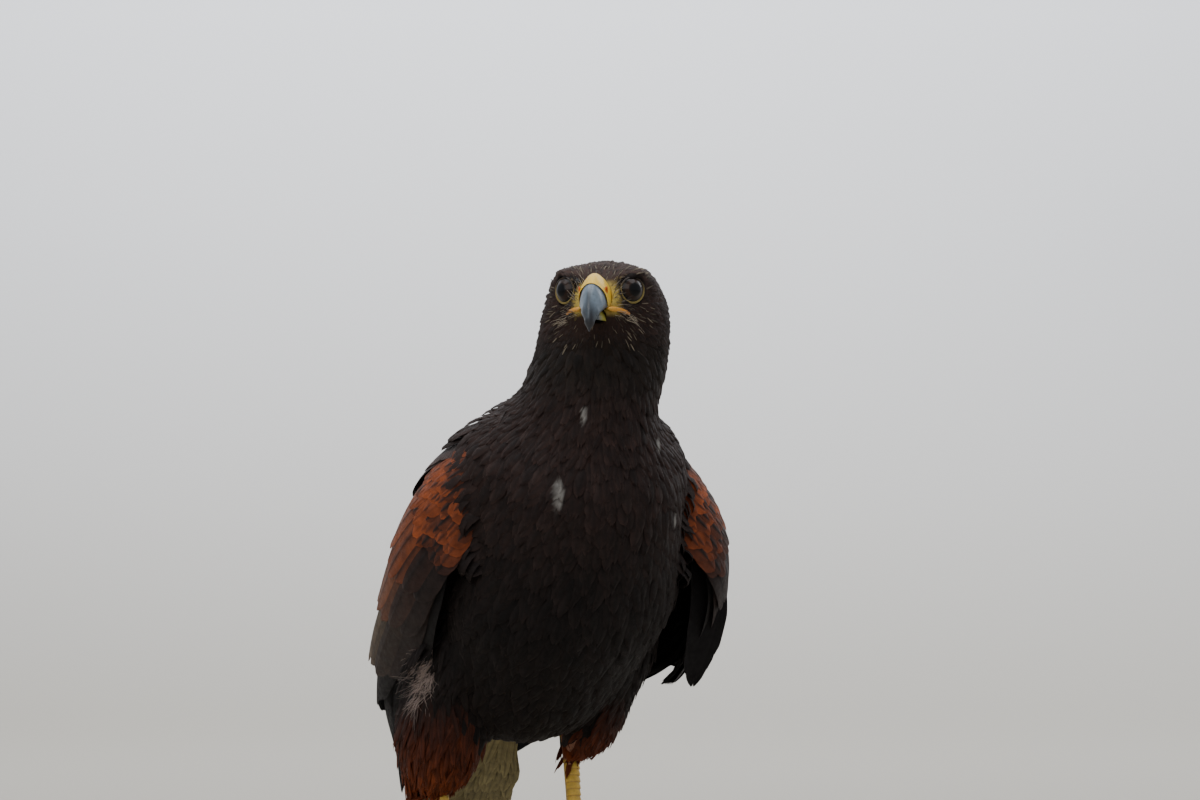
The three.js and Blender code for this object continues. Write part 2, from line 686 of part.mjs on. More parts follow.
// Legs: feathered thigh, bare tarsus, four toes and four claws
const LEGS = {
  1: { heel: [41, 24, 88], ankle: [44, 2, 13], hem: 76, flare: 1 },
  [-1]: { heel: [-30, 24, 88], ankle: [-34, 2, 13], hem: 60, flare: 1.2 },
};
const thighMasses = (side) => {
  const [hx, hy] = LEGS[side].heel;
  const { hem, flare } = LEGS[side];
  return [
    mass([hx + side * 4, hy - 38, 142], [25, 30, 36], -22),
    mass([hx + side * 5, hy - 16, hem + 38], [19 * flare, 24, 32], -20),
    mass([hx + side * 4 * flare, hy - 8, hem + 22], [15 * flare, 17, 25], -12),
  ];
};
function thigh(side, grow = 0) {
  const THIGH_REACH = 22;
  const masses = thighMasses(side);
  const [hx, hy] = LEGS[side].heel;
  const line = new THREE.CatmullRomCurve3([
    bodyPoint(hx + side * 4, hy - 38, 146),
    bodyPoint(hx + side * 5, hy - 20, 116),
    bodyPoint(hx + side * 3, hy - 8, LEGS[side].hem + 16),
  ]);
  const field = (p) => blendAll(masses, toBody(p), THIGH_REACH);
  return castAlong(field, line, 7, 16, 3, grow);
}

const SCUTE_RISE = 0.75; // height of a scute's lower edge over the leg

// The trousers end in flat locks that hang past the hem, round the whole leg.
const LOCKS = 6;
function trousers(side) {
  const { heel, hem, flare } = LEGS[side];
  const draw = seeded(97 + side);
  const centre = bodyPoint(heel[0] + side * 3.5 * flare, heel[1] - 7, 0);
  const locks = Array.from({ length: LOCKS }, (_, i) => {
    const around = (2 * Math.PI * (i + 0.3 * draw())) / LOCKS;
    const out = vec(Math.cos(around), Math.sin(around), 0);
    const along = vec(-Math.sin(around), Math.cos(around), 0);
    const place = (radius, height, across) =>
      centre
        .clone()
        .addScaledVector(out, radius * (Math.abs(out.x) > 0.7 ? flare : 1))
        .addScaledVector(along, across)
        .setZ(height);
    const length = 9 + 3 * draw();
    const rows = [
      [11, hem + 20, 5.5],
      [11.4, hem + 6, 6],
      [8.6, hem - 0.4 * length, 3.6],
      [6.6, hem - length, 0.6],
    ];
    const sheetRow = (inward) =>
      rows.map(([r, z, w]) => [-1, 0, 1].map((edge) => place(r - inward - 0.6 * Math.abs(edge), z, edge * w)));
    return plateSolid(sheetRow(0), sheetRow(1.1));
  });
  return largest(cutBy(joined([thigh(side), ...locks]), [shank(side, SCUTE_RISE + GAP)]));
}

// A raised scute across a leg or toe: an arc of plate whose lower edge stands proud of the next.
function scute(line, t, radius, face) {
  const HALF_LENGTH = 0.04;
  const SPREAD = 52; // degrees to each side
  const SUNK = 1.1;
  const row = (u, lift) => {
    const along = line.getTangentAt(u);
    const out = face.clone().addScaledVector(along, -face.dot(along)).normalize();
    const beside = vec(0, 0, 0).crossVectors(out, along);
    return [-1, 0, 1].map((share) => {
      const angle = radians(SPREAD * share);
      const reach = radius(u) + lift;
      return line
        .getPointAt(u)
        .addScaledVector(out, reach * Math.cos(angle))
        .addScaledVector(beside, reach * Math.sin(angle));
    });
  };
  const [from, to] = [t - HALF_LENGTH, t + HALF_LENGTH];
  return plateSolid([row(from, 0.15), row(to, SCUTE_RISE)], [row(from, -SUNK), row(to, -SUNK)]);
}

function shankLine(side) {
  const [heel, ankle] = [bodyPoint(...LEGS[side].heel), bodyPoint(...LEGS[side].ankle)];
  const top = heel.clone().add(vec(0, -9, 16));
  const middle = heel.clone().lerp(ankle, 0.5).add(vec(0, -1, 0));
  return [top, heel, middle, ankle];
}
const shankRadius = (t) => ease([5.2, 6.1, TARSUS_RADIUS, 4, TARSUS_RADIUS, 5.4], t);

function shank(side, grow = 0) {
  return taperedTube(shankLine(side), (t) => shankRadius(t) + grow, { sides: 10, steps: 10, up: vec(0, 1, 0.3) });
}

function tarsus(side) {
  const SCUTES = 6;
  const line = new THREE.CatmullRomCurve3(shankLine(side), false, "centripetal");
  const front = bodyPoint(0, -1, 0).sub(bodyPoint(0, 0, 0));
  const scutes = Array.from({ length: SCUTES }, (_, i) => scute(line, 0.4 + 0.1 * i, shankRadius, front));
  return joined([shank(side), ...scutes]);
}

const TOES = [
  { name: "hallux", turn: 176, length: 25, girth: 4.2, claw: 24 },
  { name: "inner", turn: 30, length: 29, girth: 4.3, claw: 22 },
  { name: "middle", turn: 0, length: 44, girth: 4.1, claw: 18 },
  { name: "outer", turn: -36, length: 33, girth: 3.7, claw: 15 },
];
const TOE_OUT = 8; // degrees that a foot turns outwards

function toeFrame(side, toe) {
  const heading = radians(BODY_YAW + side * (TOE_OUT - toe.turn));
  return { origin: bodyPoint(...LEGS[side].ankle), forward: vec(Math.sin(heading), -Math.cos(heading), 0) };
}

function toeSolid(side, toe, grow = 0) {
  const { origin, forward } = toeFrame(side, toe);
  const at = (distance, height) =>
    vec(origin.x, origin.y, 0).addScaledVector(forward, distance).add(vec(0, 0, height));
  const rest = toe.girth - FLOOR_SINK;
  const points = [
    at(-1, origin.z - 3),
    at(toe.length * 0.28, rest + 3.4),
    at(toe.length * 0.62, rest + 0.8),
    at(toe.length, rest),
  ];
  const pads = 3;
  const radius = (t) => toe.girth * (1.04 - 0.12 * t + 0.1 * Math.cos(2 * Math.PI * pads * t)) + grow;
  const bare = taperedTube(points, radius, { sides: 7, steps: 7 });
  if (grow > 0) return bare;
  const line = new THREE.CatmullRomCurve3(points, false, "centripetal");
  const scutes = [0.6, 0.84].map((t) => scute(line, t, (u) => radius(u) * 0.94, vec(0, 0, 1)));
  return joined([bare, ...scutes]);
}

function footSolid(side, grow = 0) {
  const ankle = bodyPoint(...LEGS[side].ankle).add(vec(0, 0, -4.5));
  const ball = solidFromGeometry(
    new THREE.SphereGeometry(7 + grow, 10, 6),
    new THREE.Matrix4().compose(ankle, new THREE.Quaternion(), vec(1, 1, 1)),
  );
  return joined([ball, ...TOES.map((toe) => toeSolid(side, toe, grow))]);
}

function clawSolid(side, toe) {
  const { origin, forward } = toeFrame(side, toe);
  const BEND = 88; // degrees that the claw turns through
  const START = 120; // its direction at the root: forwards and a little upwards
  const CLEAR = 0.9;
  const radius = toe.claw / 1.36;
  const base = vec(origin.x, origin.y, 0).addScaledVector(forward, toe.length + toe.girth * 0.1);
  const points = [];
  const steps = 6;
  for (let i = 0; i <= steps; i++) {
    const a = radians(START - (BEND * i) / steps);
    const forwardBy = radius * (Math.cos(a) - Math.cos(radians(START)));
    const heightBy = radius * (Math.sin(a) - Math.sin(radians(START)));
    points.push(base.clone().addScaledVector(forward, forwardBy).add(vec(0, 0, toe.girth * 1.35 + heightBy)));
  }
  const lowest = Math.min(...points.map((p) => p.z));
  points.forEach((p, i) => {
    p.z += Math.max(CLEAR - lowest, 0) * (i / steps);
  });
  const across = vec(0, 0, 0).crossVectors(forward, vec(0, 0, 1));
  return taperedTube(points, (t) => ease([3, 2.8, 2.1, 1.2, 0.35], t), { sides: 6, steps: 5, across });
}

// Tail
const tailLine = (() => {
  const steps = 24;
  const points = [vec(...TAIL_ROOT)];
  for (let i = 1; i <= steps; i++) {
    const pitch = radians(ease([TAIL_PITCH_ROOT, 30, 22, TAIL_PITCH_TIP], (i - 0.5) / steps));
    const step = TAIL_LENGTH / steps;
    const last = points[points.length - 1];
    const swing = radians(TAIL_TURN);
    const back = step * Math.cos(pitch);
    points.push(last.clone().add(vec(back * Math.sin(swing), back * Math.cos(swing), -step * Math.sin(pitch))));
  }
  const drop = points[points.length - 1].z - TAIL_TIP_HEIGHT;
  return new THREE.CatmullRomCurve3(points.map((p, i) => p.add(vec(0, 0, (-drop * i) / steps))));
})();
const tailSheet = withNormals((s, v) => {
  const middle = tailLine.getPoint(s);
  const halfWidth = ease([17, 24, 31, 37], s);
  const roof = 5 * (1 - s) + 1.5;
  const swing = radians(TAIL_TURN);
  const out = halfWidth * v;
  return bodyPoint(middle.x + out * Math.cos(swing), middle.y - out * Math.sin(swing), middle.z - roof * v * v);
}, -1);

// The tail's twelve feathers: the middle pair lies on top, and each pair below the one inside it.
const TAIL_PAIRS = 6;
const TAIL_TOP = 3;
const tailLayer = (pair, side) => TAIL_TOP - STACK * (pair < 2 ? 2 * pair + (side > 0 ? 0 : 1) : pair + 2);

function tailFeather(pair, side) {
  const share = pair / (TAIL_PAIRS - 1);
  const v = side * (0.1 + 0.72 * share);
  const height = tailLayer(pair, side);
  return feather(tailSheet, {
    root: [0.16, v * 0.7],
    tip: [1 - 0.03 * share, v],
    halfWidth: 12,
    layer: [height, height],
    tilt: 0,
    shape: "tail",
  });
}

function tailBed(grow = 0) {
  const outer = TAIL_TOP + 0.5 + grow;
  const inner = tailLayer(TAIL_PAIRS - 1, 1) - VANE - 0.5 - grow;
  return bed(tailSheet, [[0, outer, inner], [0.11, outer, inner], [0.22, outer, inner]], { low: -0.9, high: 0.9 });
}

function tail() {
  const feathers = Array.from({ length: TAIL_PAIRS }, (_, pair) => [tailFeather(pair, 1), tailFeather(pair, -1)]);
  return joined([tailBed(), ...feathers.flat()]);
}

// The room that the tail takes between its coverts.
function tailSpace() {
  const outer = TAIL_TOP + 0.5 + 3 * GAP;
  const inner = tailLayer(TAIL_PAIRS - 1, 1) - VANE - 0.5 - 2 * GAP;
  const rows = [-0.01, 0.11, 0.22, 0.36, 0.5, 0.64].map((s) => [s, outer, inner]);
  return bed(tailSheet, rows, { low: -1.5, high: 1.5 });
}

// Short feathers in overlapping rows, over and under the tail's root.
function tailCoverts({ rows, bedRows, high }) {
  const feathers = rows.flatMap(({ count, seed, from, to, layer, halfWidth }) =>
    featherRow(tailSheet, count, seed, (share, draw, i) => {
      const v = THREE.MathUtils.lerp(-high, high, share);
      const height = layer + (i % 2 === 0 ? STACK : 0);
      return {
        root: [from, v * 0.9],
        tip: [to + 0.05 * (1 - (2 * share - 1) ** 2) + 0.01 * draw(), v],
        halfWidth,
        layer: [height, height],
        tilt: 0,
        shape: "short",
      };
    }),
  );
  return joined([bed(tailSheet, bedRows, { low: -high - 0.2, high: high + 0.2 }), ...feathers]);
}
const upperTailCoverts = () =>
  tailCoverts({
    high: 0.56,
    bedRows: [[0, 8.6, 3], [0.1, 8.6, 3], [0.1, 6.4, 3], [0.19, 6.4, 3]],
    rows: [
      { count: 3, seed: 71, from: 0.16, to: 0.3, layer: 4.8, halfWidth: 10 },
      { count: 2, seed: 73, from: 0.06, to: 0.18, layer: 7, halfWidth: 12 },
    ],
  });
const lowerTailCoverts = () =>
  tailCoverts({
    high: 0.6,
    bedRows: [[0, -4, -13.4], [0.14, -4, -13.4], [0.14, -4, -10.6], [0.26, -4, -10.6]],
    rows: [
      { count: 3, seed: 79, from: 0.22, to: 0.44, layer: -8.6, halfWidth: 12 },
      { count: 3, seed: 83, from: 0.1, to: 0.29, layer: -12.4, halfWidth: 11 },
    ],
  });

// Assembly: each solid is cut clear of those that carry it.
const torso = largest(cutBy(trunkAndNeck, [above(NECK_BASE, NECK_BASE_AXIS)]));
const bird = new THREE.Group();

function addPart(name, solid, colour) {
  const { vertProperties, triVerts, numProp } = largest(solid).getMesh();
  const geometry = new THREE.BufferGeometry();
  const positions = new Float32Array((vertProperties.length / numProp) * 3);
  for (let i = 0; i < positions.length / 3; i++) {
    positions.set(vertProperties.subarray(i * numProp, i * numProp + 3), i * 3);
  }
  geometry.setAttribute("position", new THREE.BufferAttribute(positions, 3));
  geometry.setIndex(new THREE.BufferAttribute(triVerts, 1));
  geometry.computeVertexNormals();
  const mesh = new THREE.Mesh(geometry, new THREE.MeshStandardMaterial({ ...COLOURS[colour], metalness: 0 }));
  mesh.name = name;
  bird.add(mesh);
}

addPart("head", head, "umber");
addPart("neck", neck, "umber");
addPart("torso", torso, "umber");
addPart("cere", largest(cere), "yellow");
addPart("bill_upper", hook, "horn");
addPart("bill_lower", lowerBill, "yellow");

for (const [side, hand] of [[1, "left"], [-1, "right"]]) {
  const legSpace = thigh(side, GAP);
  addPart(`eye_${hand}`, eyeball(side), "eye");
  addPart(`thigh_${hand}`, cutBy(trousers(side), [trunkSpace]), "rufous");
  addPart(`wing_${hand}_flight`, cutBy(flightFeathers(side), [trunkSpace, legSpace]), "black");
  addPart(`wing_${hand}_coverts`, cutBy(covertFeathers(side), [trunkSpace, legSpace]), "rufous");
  addPart(`scapulars_${hand}`, cutBy(scapulars(side), [trunkSpace, shoulderSpace(side), acrossBack(side)]), "umber");
  const legBare = cutBy(tarsus(side), [legSpace, footSolid(side, GAP)]);
  addPart(`tarsus_${hand}`, legBare, "yellow");
  addPart(`foot_${hand}`, cutBy(footSolid(side), [belowFloor]), "yellow");
  for (const toe of TOES) {
    addPart(`claw_${toe.name}_${hand}`, cutBy(clawSolid(side, toe), [footSolid(side, GAP)]), "claw");
  }
}
addPart("tail", cutBy(tail(), [trunkSpace, belowFloor]), "black");
addPart("uppertail_coverts", cutBy(upperTailCoverts(), [trunkSpace, tailSpace()]), "cream");
addPart("undertail_coverts", cutBy(lowerTailCoverts(), [trunkSpace, tailSpace(), thigh(1, GAP), thigh(-1, GAP)]), "cream");

// The model stands with the middle of its base at the origin.
const extent = new THREE.Box3().setFromObject(bird, true);
const base = extent.getCenter(vec(0, 0, 0)).setZ(extent.min.z);
bird.position.sub(base);
const model = new THREE.Group();
model.add(bird);

export default model;
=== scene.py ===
"""A Harris's hawk as a life-size display model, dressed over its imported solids.

Shapes are worked out in the bird's own millimetres, as the solids are, and put into the row frame when a
mesh is made. One skin stands for the nodes of flesh. Feathers are closed, thin vanes laid over it along the
lie of the coat, and over the sheets of the folded wings and the tail.
"""

import logging
import math
from dataclasses import dataclass, field
from enum import Enum
from typing import Callable, Iterable, Sequence

import bmesh
import bpy
import numpy as np
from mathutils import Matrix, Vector
from mathutils.bvhtree import BVHTree

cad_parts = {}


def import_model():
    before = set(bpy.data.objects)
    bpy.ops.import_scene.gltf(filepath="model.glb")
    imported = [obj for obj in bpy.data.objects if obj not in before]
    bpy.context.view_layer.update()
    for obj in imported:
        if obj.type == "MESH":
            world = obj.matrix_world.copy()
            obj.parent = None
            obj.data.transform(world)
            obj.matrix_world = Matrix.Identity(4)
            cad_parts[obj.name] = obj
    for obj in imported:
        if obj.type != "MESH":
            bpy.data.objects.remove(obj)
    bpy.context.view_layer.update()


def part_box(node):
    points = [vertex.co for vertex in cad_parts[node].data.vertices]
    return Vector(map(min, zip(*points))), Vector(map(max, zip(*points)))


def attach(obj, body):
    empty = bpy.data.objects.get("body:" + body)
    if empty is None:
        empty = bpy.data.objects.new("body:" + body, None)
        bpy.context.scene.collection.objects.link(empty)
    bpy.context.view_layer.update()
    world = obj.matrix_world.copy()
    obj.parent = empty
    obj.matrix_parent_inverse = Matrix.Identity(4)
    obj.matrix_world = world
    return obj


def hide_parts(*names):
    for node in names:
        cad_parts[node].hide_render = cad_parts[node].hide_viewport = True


LOG = logging.getLogger("hawk")
MM = 0.001
BAKE_PATCH = 0.003
VANE_UNIT = 0.1
SIDES = {1: "left", -1: "right"}
FLESH = ("head", "neck", "torso", "thigh_left", "thigh_right")
HEAD, NECK, TORSO, THIGH_LEFT, THIGH_RIGHT = range(len(FLESH))
Array = np.ndarray


def unit(vectors: Array) -> Array:
    """Scales vectors to length one.

    Args:
        vectors: An array whose last axis holds x, y and z.

    Returns:
        The same directions with length one.
    """
    length = np.linalg.norm(vectors, axis=-1, keepdims=True)
    return vectors / np.maximum(length, 1e-9)


def smooth(value: Array | float, low: float, high: float) -> Array:
    """Rises softly from 0 at low to 1 at high.

    Args:
        value: Number or array to read.
        low: Where the rise starts.
        high: Where it ends; it may lie below low.

    Returns:
        The eased share.
    """
    share = np.clip((np.asarray(value, float) - low) / (high - low), 0.0, 1.0)
    return share * share * (3.0 - 2.0 * share)


def ease(values: Sequence[float], share: Array | float) -> Array:
    """Reads a short list of evenly spaced values with soft steps between them.

    Args:
        values: The values from share 0 to share 1.
        share: Where to read, from 0 to 1.

    Returns:
        The value or values there.
    """
    table = np.asarray(values, float)
    place = np.clip(np.asarray(share, float), 0.0, 1.0) * (len(table) - 1)
    low = np.minimum(place.astype(int), len(table) - 2)
    return table[low] + (table[low + 1] - table[low]) * smooth(place - low, 0.0, 1.0)


def mix(first: Array, second: Array, share: Array | float) -> Array:
    """Blends two colours or places.

    Args:
        first: What share 0 gives.
        second: What share 1 gives.
        share: One share, or one for each row.

    Returns:
        The blend.
    """
    weight = np.asarray(share, float)
    if weight.ndim:
        weight = weight[..., None]
    return np.asarray(first) * (1.0 - weight) + np.asarray(second) * weight


def distance(places: Array, centre: Sequence[float]) -> Array:
    """Measures how far places lie from a centre.

    Args:
        places: Rows of x, y and z.
        centre: The centre.

    Returns:
        A distance for each row.
    """
    return np.linalg.norm(places - np.array(centre), axis=1)


class Shade(Enum):
    """Plumage and skin colours, as display values from 0 to 255. The crown's colour carries painted light
    from above.
    """

    CHOCOLATE = (46, 33, 29)
    BELLY = (25, 19, 17)
    # Lighter than the cheeks: painted light on the top of the head.
    CROWN = (64, 48, 42)
    CHEEK = (50, 36, 31)
    THROAT = (34, 27, 22)
    RUFOUS = (128, 61, 27)
    RUFOUS_DEEP = (78, 36, 19)
    COVERT_BROWN = (72, 58, 42)
    BLACK = (17, 14, 14)
    FLIGHT = (24, 20, 20)
    CREAM = (206, 199, 168)
    WHITE = (226, 222, 212)
    DOWN = (206, 184, 172)
    FLECK = (164, 150, 128)
    LORE = (198, 172, 88)

    def linear(self) -> Array:
        """Returns the colour in the renderer's linear values."""
        display = np.array(self.value, float) / 255.0
        return np.where(display <= 0.04045, display / 12.92, ((display + 0.055) / 1.055) ** 2.4)


@dataclass(frozen=True)
class Stance:
    """How the trunk and the head are turned, shared with the solids."""

    body_yaw: float = 22.0
    body_lean: float = 0.085
    body_shift: float = -7.0
    head_at: tuple[float, float, float] = (48.2, -66.0, 304.5)
    head_yaw: float = -8.0
    head_pitch: float = 2.0

    def body_point(self, places: Iterable) -> Array:
        """Puts places in the trunk's own frame into the bird's frame.

        Args:
            places: One or more places as x, y and z.

        Returns:
            The places in the bird's frame.
        """
        p = np.asarray(places, float)
        a = math.radians(self.body_yaw)
        x, y, z = p[..., 0], p[..., 1], p[..., 2]
        across = self.body_shift + self.body_lean * z + x * math.cos(a) - y * math.sin(a)
        return np.stack([across, x * math.sin(a) + y * math.cos(a), z], axis=-1)

    def to_body(self, places: Iterable) -> Array:
        """Reads places in the bird's frame in the trunk's own frame.

        Args:
            places: One or more places as x, y and z.

        Returns:
            The places in the trunk's frame.
        """
        p = np.asarray(places, float)
        a = math.radians(self.body_yaw)
        across = p[..., 0] - self.body_shift - self.body_lean * p[..., 2]
        x = across * math.cos(a) + p[..., 1] * math.sin(a)
        y = -across * math.sin(a) + p[..., 1] * math.cos(a)
        return np.stack([x, y, p[..., 2]], axis=-1)

    def _head_turn(self) -> Array:
        """Returns the head's rotation as a 3 by 3 array."""
        yaw, pitch = math.radians(self.head_yaw), math.radians(self.head_pitch)
        about_z = [[math.cos(yaw), -math.sin(yaw), 0], [math.sin(yaw), math.cos(yaw), 0], [0, 0, 1]]
        about_x = [[1, 0, 0], [0, math.cos(pitch), -math.sin(pitch)], [0, math.sin(pitch), math.cos(pitch)]]
        return np.array(about_z) @ np.array(about_x)

    def head_point(self, places: Iterable) -> Array:
        """Puts places in the head's own frame into the bird's frame.

        Args:
            places: One or more places as x, y and z.

        Returns:
            The places in the bird's frame.
        """
        return np.asarray(places, float) @ self._head_turn().T + np.array(self.head_at)

    def to_head(self, places: Iterable) -> Array:
        """Reads places in the bird's frame in the head's own frame.

        Args:
            places: One or more places as x, y and z.

        Returns:
            The places in the head's frame.
        """
        return (np.asarray(places, float) - np.array(self.head_at)) @ self._head_turn()

    def head_direction(self, directions: Iterable) -> Array:
        """Turns directions in the head's frame into the bird's frame.

        Args:
            directions: One or more directions.

        Returns:
            The directions in the bird's frame.
        """
        return np.asarray(directions, float) @ self._head_turn().T


class Rail:
    """A smooth line through a few points, with the spacing that the solids use."""

    def __init__(self, points: Iterable) -> None:
        """Keeps the points and the imagined one beyond each end.

        Args:
            points: The line's points in order.
        """
        p = np.asarray(points, float)
        self.count = len(p)
        self.padded = np.vstack([2 * p[0] - p[1], p, 2 * p[-1] - p[-2]])

    def at(self, share: Array | float) -> Array:
        """Finds places on the line.

        Args:
            share: How far along, from 0 to 1, counted in points.

        Returns:
            One place for each share.
        """
        place = np.clip(np.asarray(share, float), 0.0, 1.0) * (self.count - 1)
        low = np.minimum(place.astype(int), self.count - 2)
        w = (place - low)[..., None]
        p0, p1, p2, p3 = (self.padded[low + k] for k in range(4))
        spans = (p1 - p0, p2 - p1, p3 - p2)
        d0, d1, d2 = (np.linalg.norm(span, axis=-1, keepdims=True) ** 0.5 for span in spans)
        t1 = ((p1 - p0) / d0 - (p2 - p0) / (d0 + d1) + (p2 - p1) / d1) * d1
        t2 = ((p2 - p1) / d1 - (p3 - p1) / (d1 + d2) + (p3 - p2) / d2) * d1
        return p1 + t1 * w + (-3 * p1 + 3 * p2 - 2 * t1 - t2) * w**2 + (2 * p1 - 2 * p2 + t1 + t2) * w**3

    def even(self, count: int) -> Array:
        """Spaces places evenly by length.

        Args:
            count: How many places.

        Returns:
            The places, from the line's first point to its last.
        """
        fine = self.at(np.linspace(0.0, 1.0, 400))
        run = np.concatenate([[0.0], np.cumsum(np.linalg.norm(np.diff(fine, axis=0), axis=1))])
        wanted = np.linspace(0.0, run[-1], count)
        return np.stack([np.interp(wanted, run, fine[:, k]) for k in range(3)], axis=-1)


class Sheet:
    """A surface that feathers lie on: s runs from root to tip and v across, from -1 to 1."""

    STEP = 0.01

    def __init__(self, place: Callable[[Array, Array], Array], turn: float) -> None:
        """Keeps the surface.

        Args:
            place: Gives a point for each s and v.
            turn: 1 or -1, so that the normal points outwards.
        """
        self.place = place
        self.turn = turn

    def outwards(self, s: Array, v: Array) -> Array:
        """Finds the outward normals.

        Args:
            s: Shares from root to tip.
            v: Shares across.

        Returns:
            A direction for each pair.
        """
        s0 = np.clip(s, self.STEP, 1.0 - self.STEP)
        ds = self.place(s0 + self.STEP, v) - self.place(s0 - self.STEP, v)
        dv = self.place(s0, v + self.STEP) - self.place(s0, v - self.STEP)
        return unit(np.cross(ds, dv)) * self.turn

    def at(self, s: Array, v: Array, layer: Array) -> Array:
        """Finds places over the surface, also a little beyond its ends.

        Args:
            s: Shares from root to tip.
            v: Shares across.
            layer: Heights over the surface.

        Returns:
            A place for each.
        """
        inside = np.clip(s, 0.0, 1.0)
        beyond = ((s - inside) / self.STEP)[..., None]
        point = self.place(inside, v) + self.outwards(inside, v) * np.asarray(layer)[..., None]
        last = self.place(np.ones_like(inside), v) - self.place(np.full_like(inside, 1 - self.STEP), v)
        first = self.place(np.full_like(inside, self.STEP), v) - self.place(np.zeros_like(inside), v)
        return point + np.where(s[..., None] > 1.0, last, first) * beyond

    def breadth(self, s: Array, v: Array) -> Array:
        """Finds how many millimetres one unit of v is.

        Args:
            s: Shares from root to tip.
            v: Shares across.

        Returns:
            A length for each pair.
        """
        inside = np.clip(s, 0.0, 1.0)
        span = self.place(inside, v + self.STEP) - self.place(inside, v - self.STEP)
        return np.linalg.norm(span, axis=-1) / (2 * self.STEP)


class VaneGrid:
    """The mesh that every feather of a batch shares: a thin lens whose two faces meet at its edge."""

    def __init__(self, rows: int, columns: Sequence[float], tip: float = 0.0) -> None:
        """Numbers the corners and faces.

        Args:
            rows: How many rows from root to tip.
            columns: The columns' places across, from -1 to 1.
            tip: How far the rows crowd towards the tip, from 0 to 1.
        """
        lin = np.linspace(0.0, 1.0, rows)
        along = lin * (1 - tip) + tip * (1 - (1 - lin) ** 2)
        count = len(columns)
        top = np.arange(rows * count).reshape(rows, count)
        rim = np.ones((rows, count), bool)
        rim[1:-1, 1:-1] = False
        bottom = top.copy()
        bottom[~rim] = rows * count + np.arange((~rim).sum())
        self.t = np.concatenate([np.repeat(along, count), np.repeat(along[1:-1], count - 2)])
        across = np.tile(np.asarray(columns, float), rows)
        self.e = np.concatenate([across, np.tile(np.asarray(columns[1:-1], float), rows - 2)])
        self.side = np.concatenate([np.where(rim, 0.0, 1.0).ravel(), -np.ones((~rim).sum())])
        inner = np.tile(np.arange(1, count - 1), rows - 2)
        self.column = np.concatenate([np.tile(np.arange(count), rows), inner])
        self.columns = count

        def quads(grid: Array, flip: bool) -> Array:
            """Lists one face's quads, turned over when flip is true."""
            corners = [grid[:-1, :-1], grid[:-1, 1:], grid[1:, 1:], grid[1:, :-1]]
            if flip:
                corners.reverse()
            return np.stack([c.ravel() for c in corners], axis=-1)

        self.faces = np.vstack([quads(top, True), quads(bottom, False)])
        self.size = len(self.t)
        edge = np.zeros((self.size, self.size), bool)
        loop = np.concatenate([top[0], top[1:, -1], top[-1, -2::-1], top[-2:0:-1, 0]])
        edge[loop, np.roll(loop, -1)] = True
        self.edge = edge | edge.T

    def patch(self) -> Array:
        """Returns the little area that one feather takes on the bake map, round its own middle."""
        return np.stack([self.e * 0.5, self.t - 0.5], axis=-1)[None] * BAKE_PATCH


@dataclass
class Batch:
    """Feathers that share a grid, ready to be made into one mesh."""

    grid: VaneGrid
    points: Array
    colours: Array
    vane: Array
    bake: Array | None = None


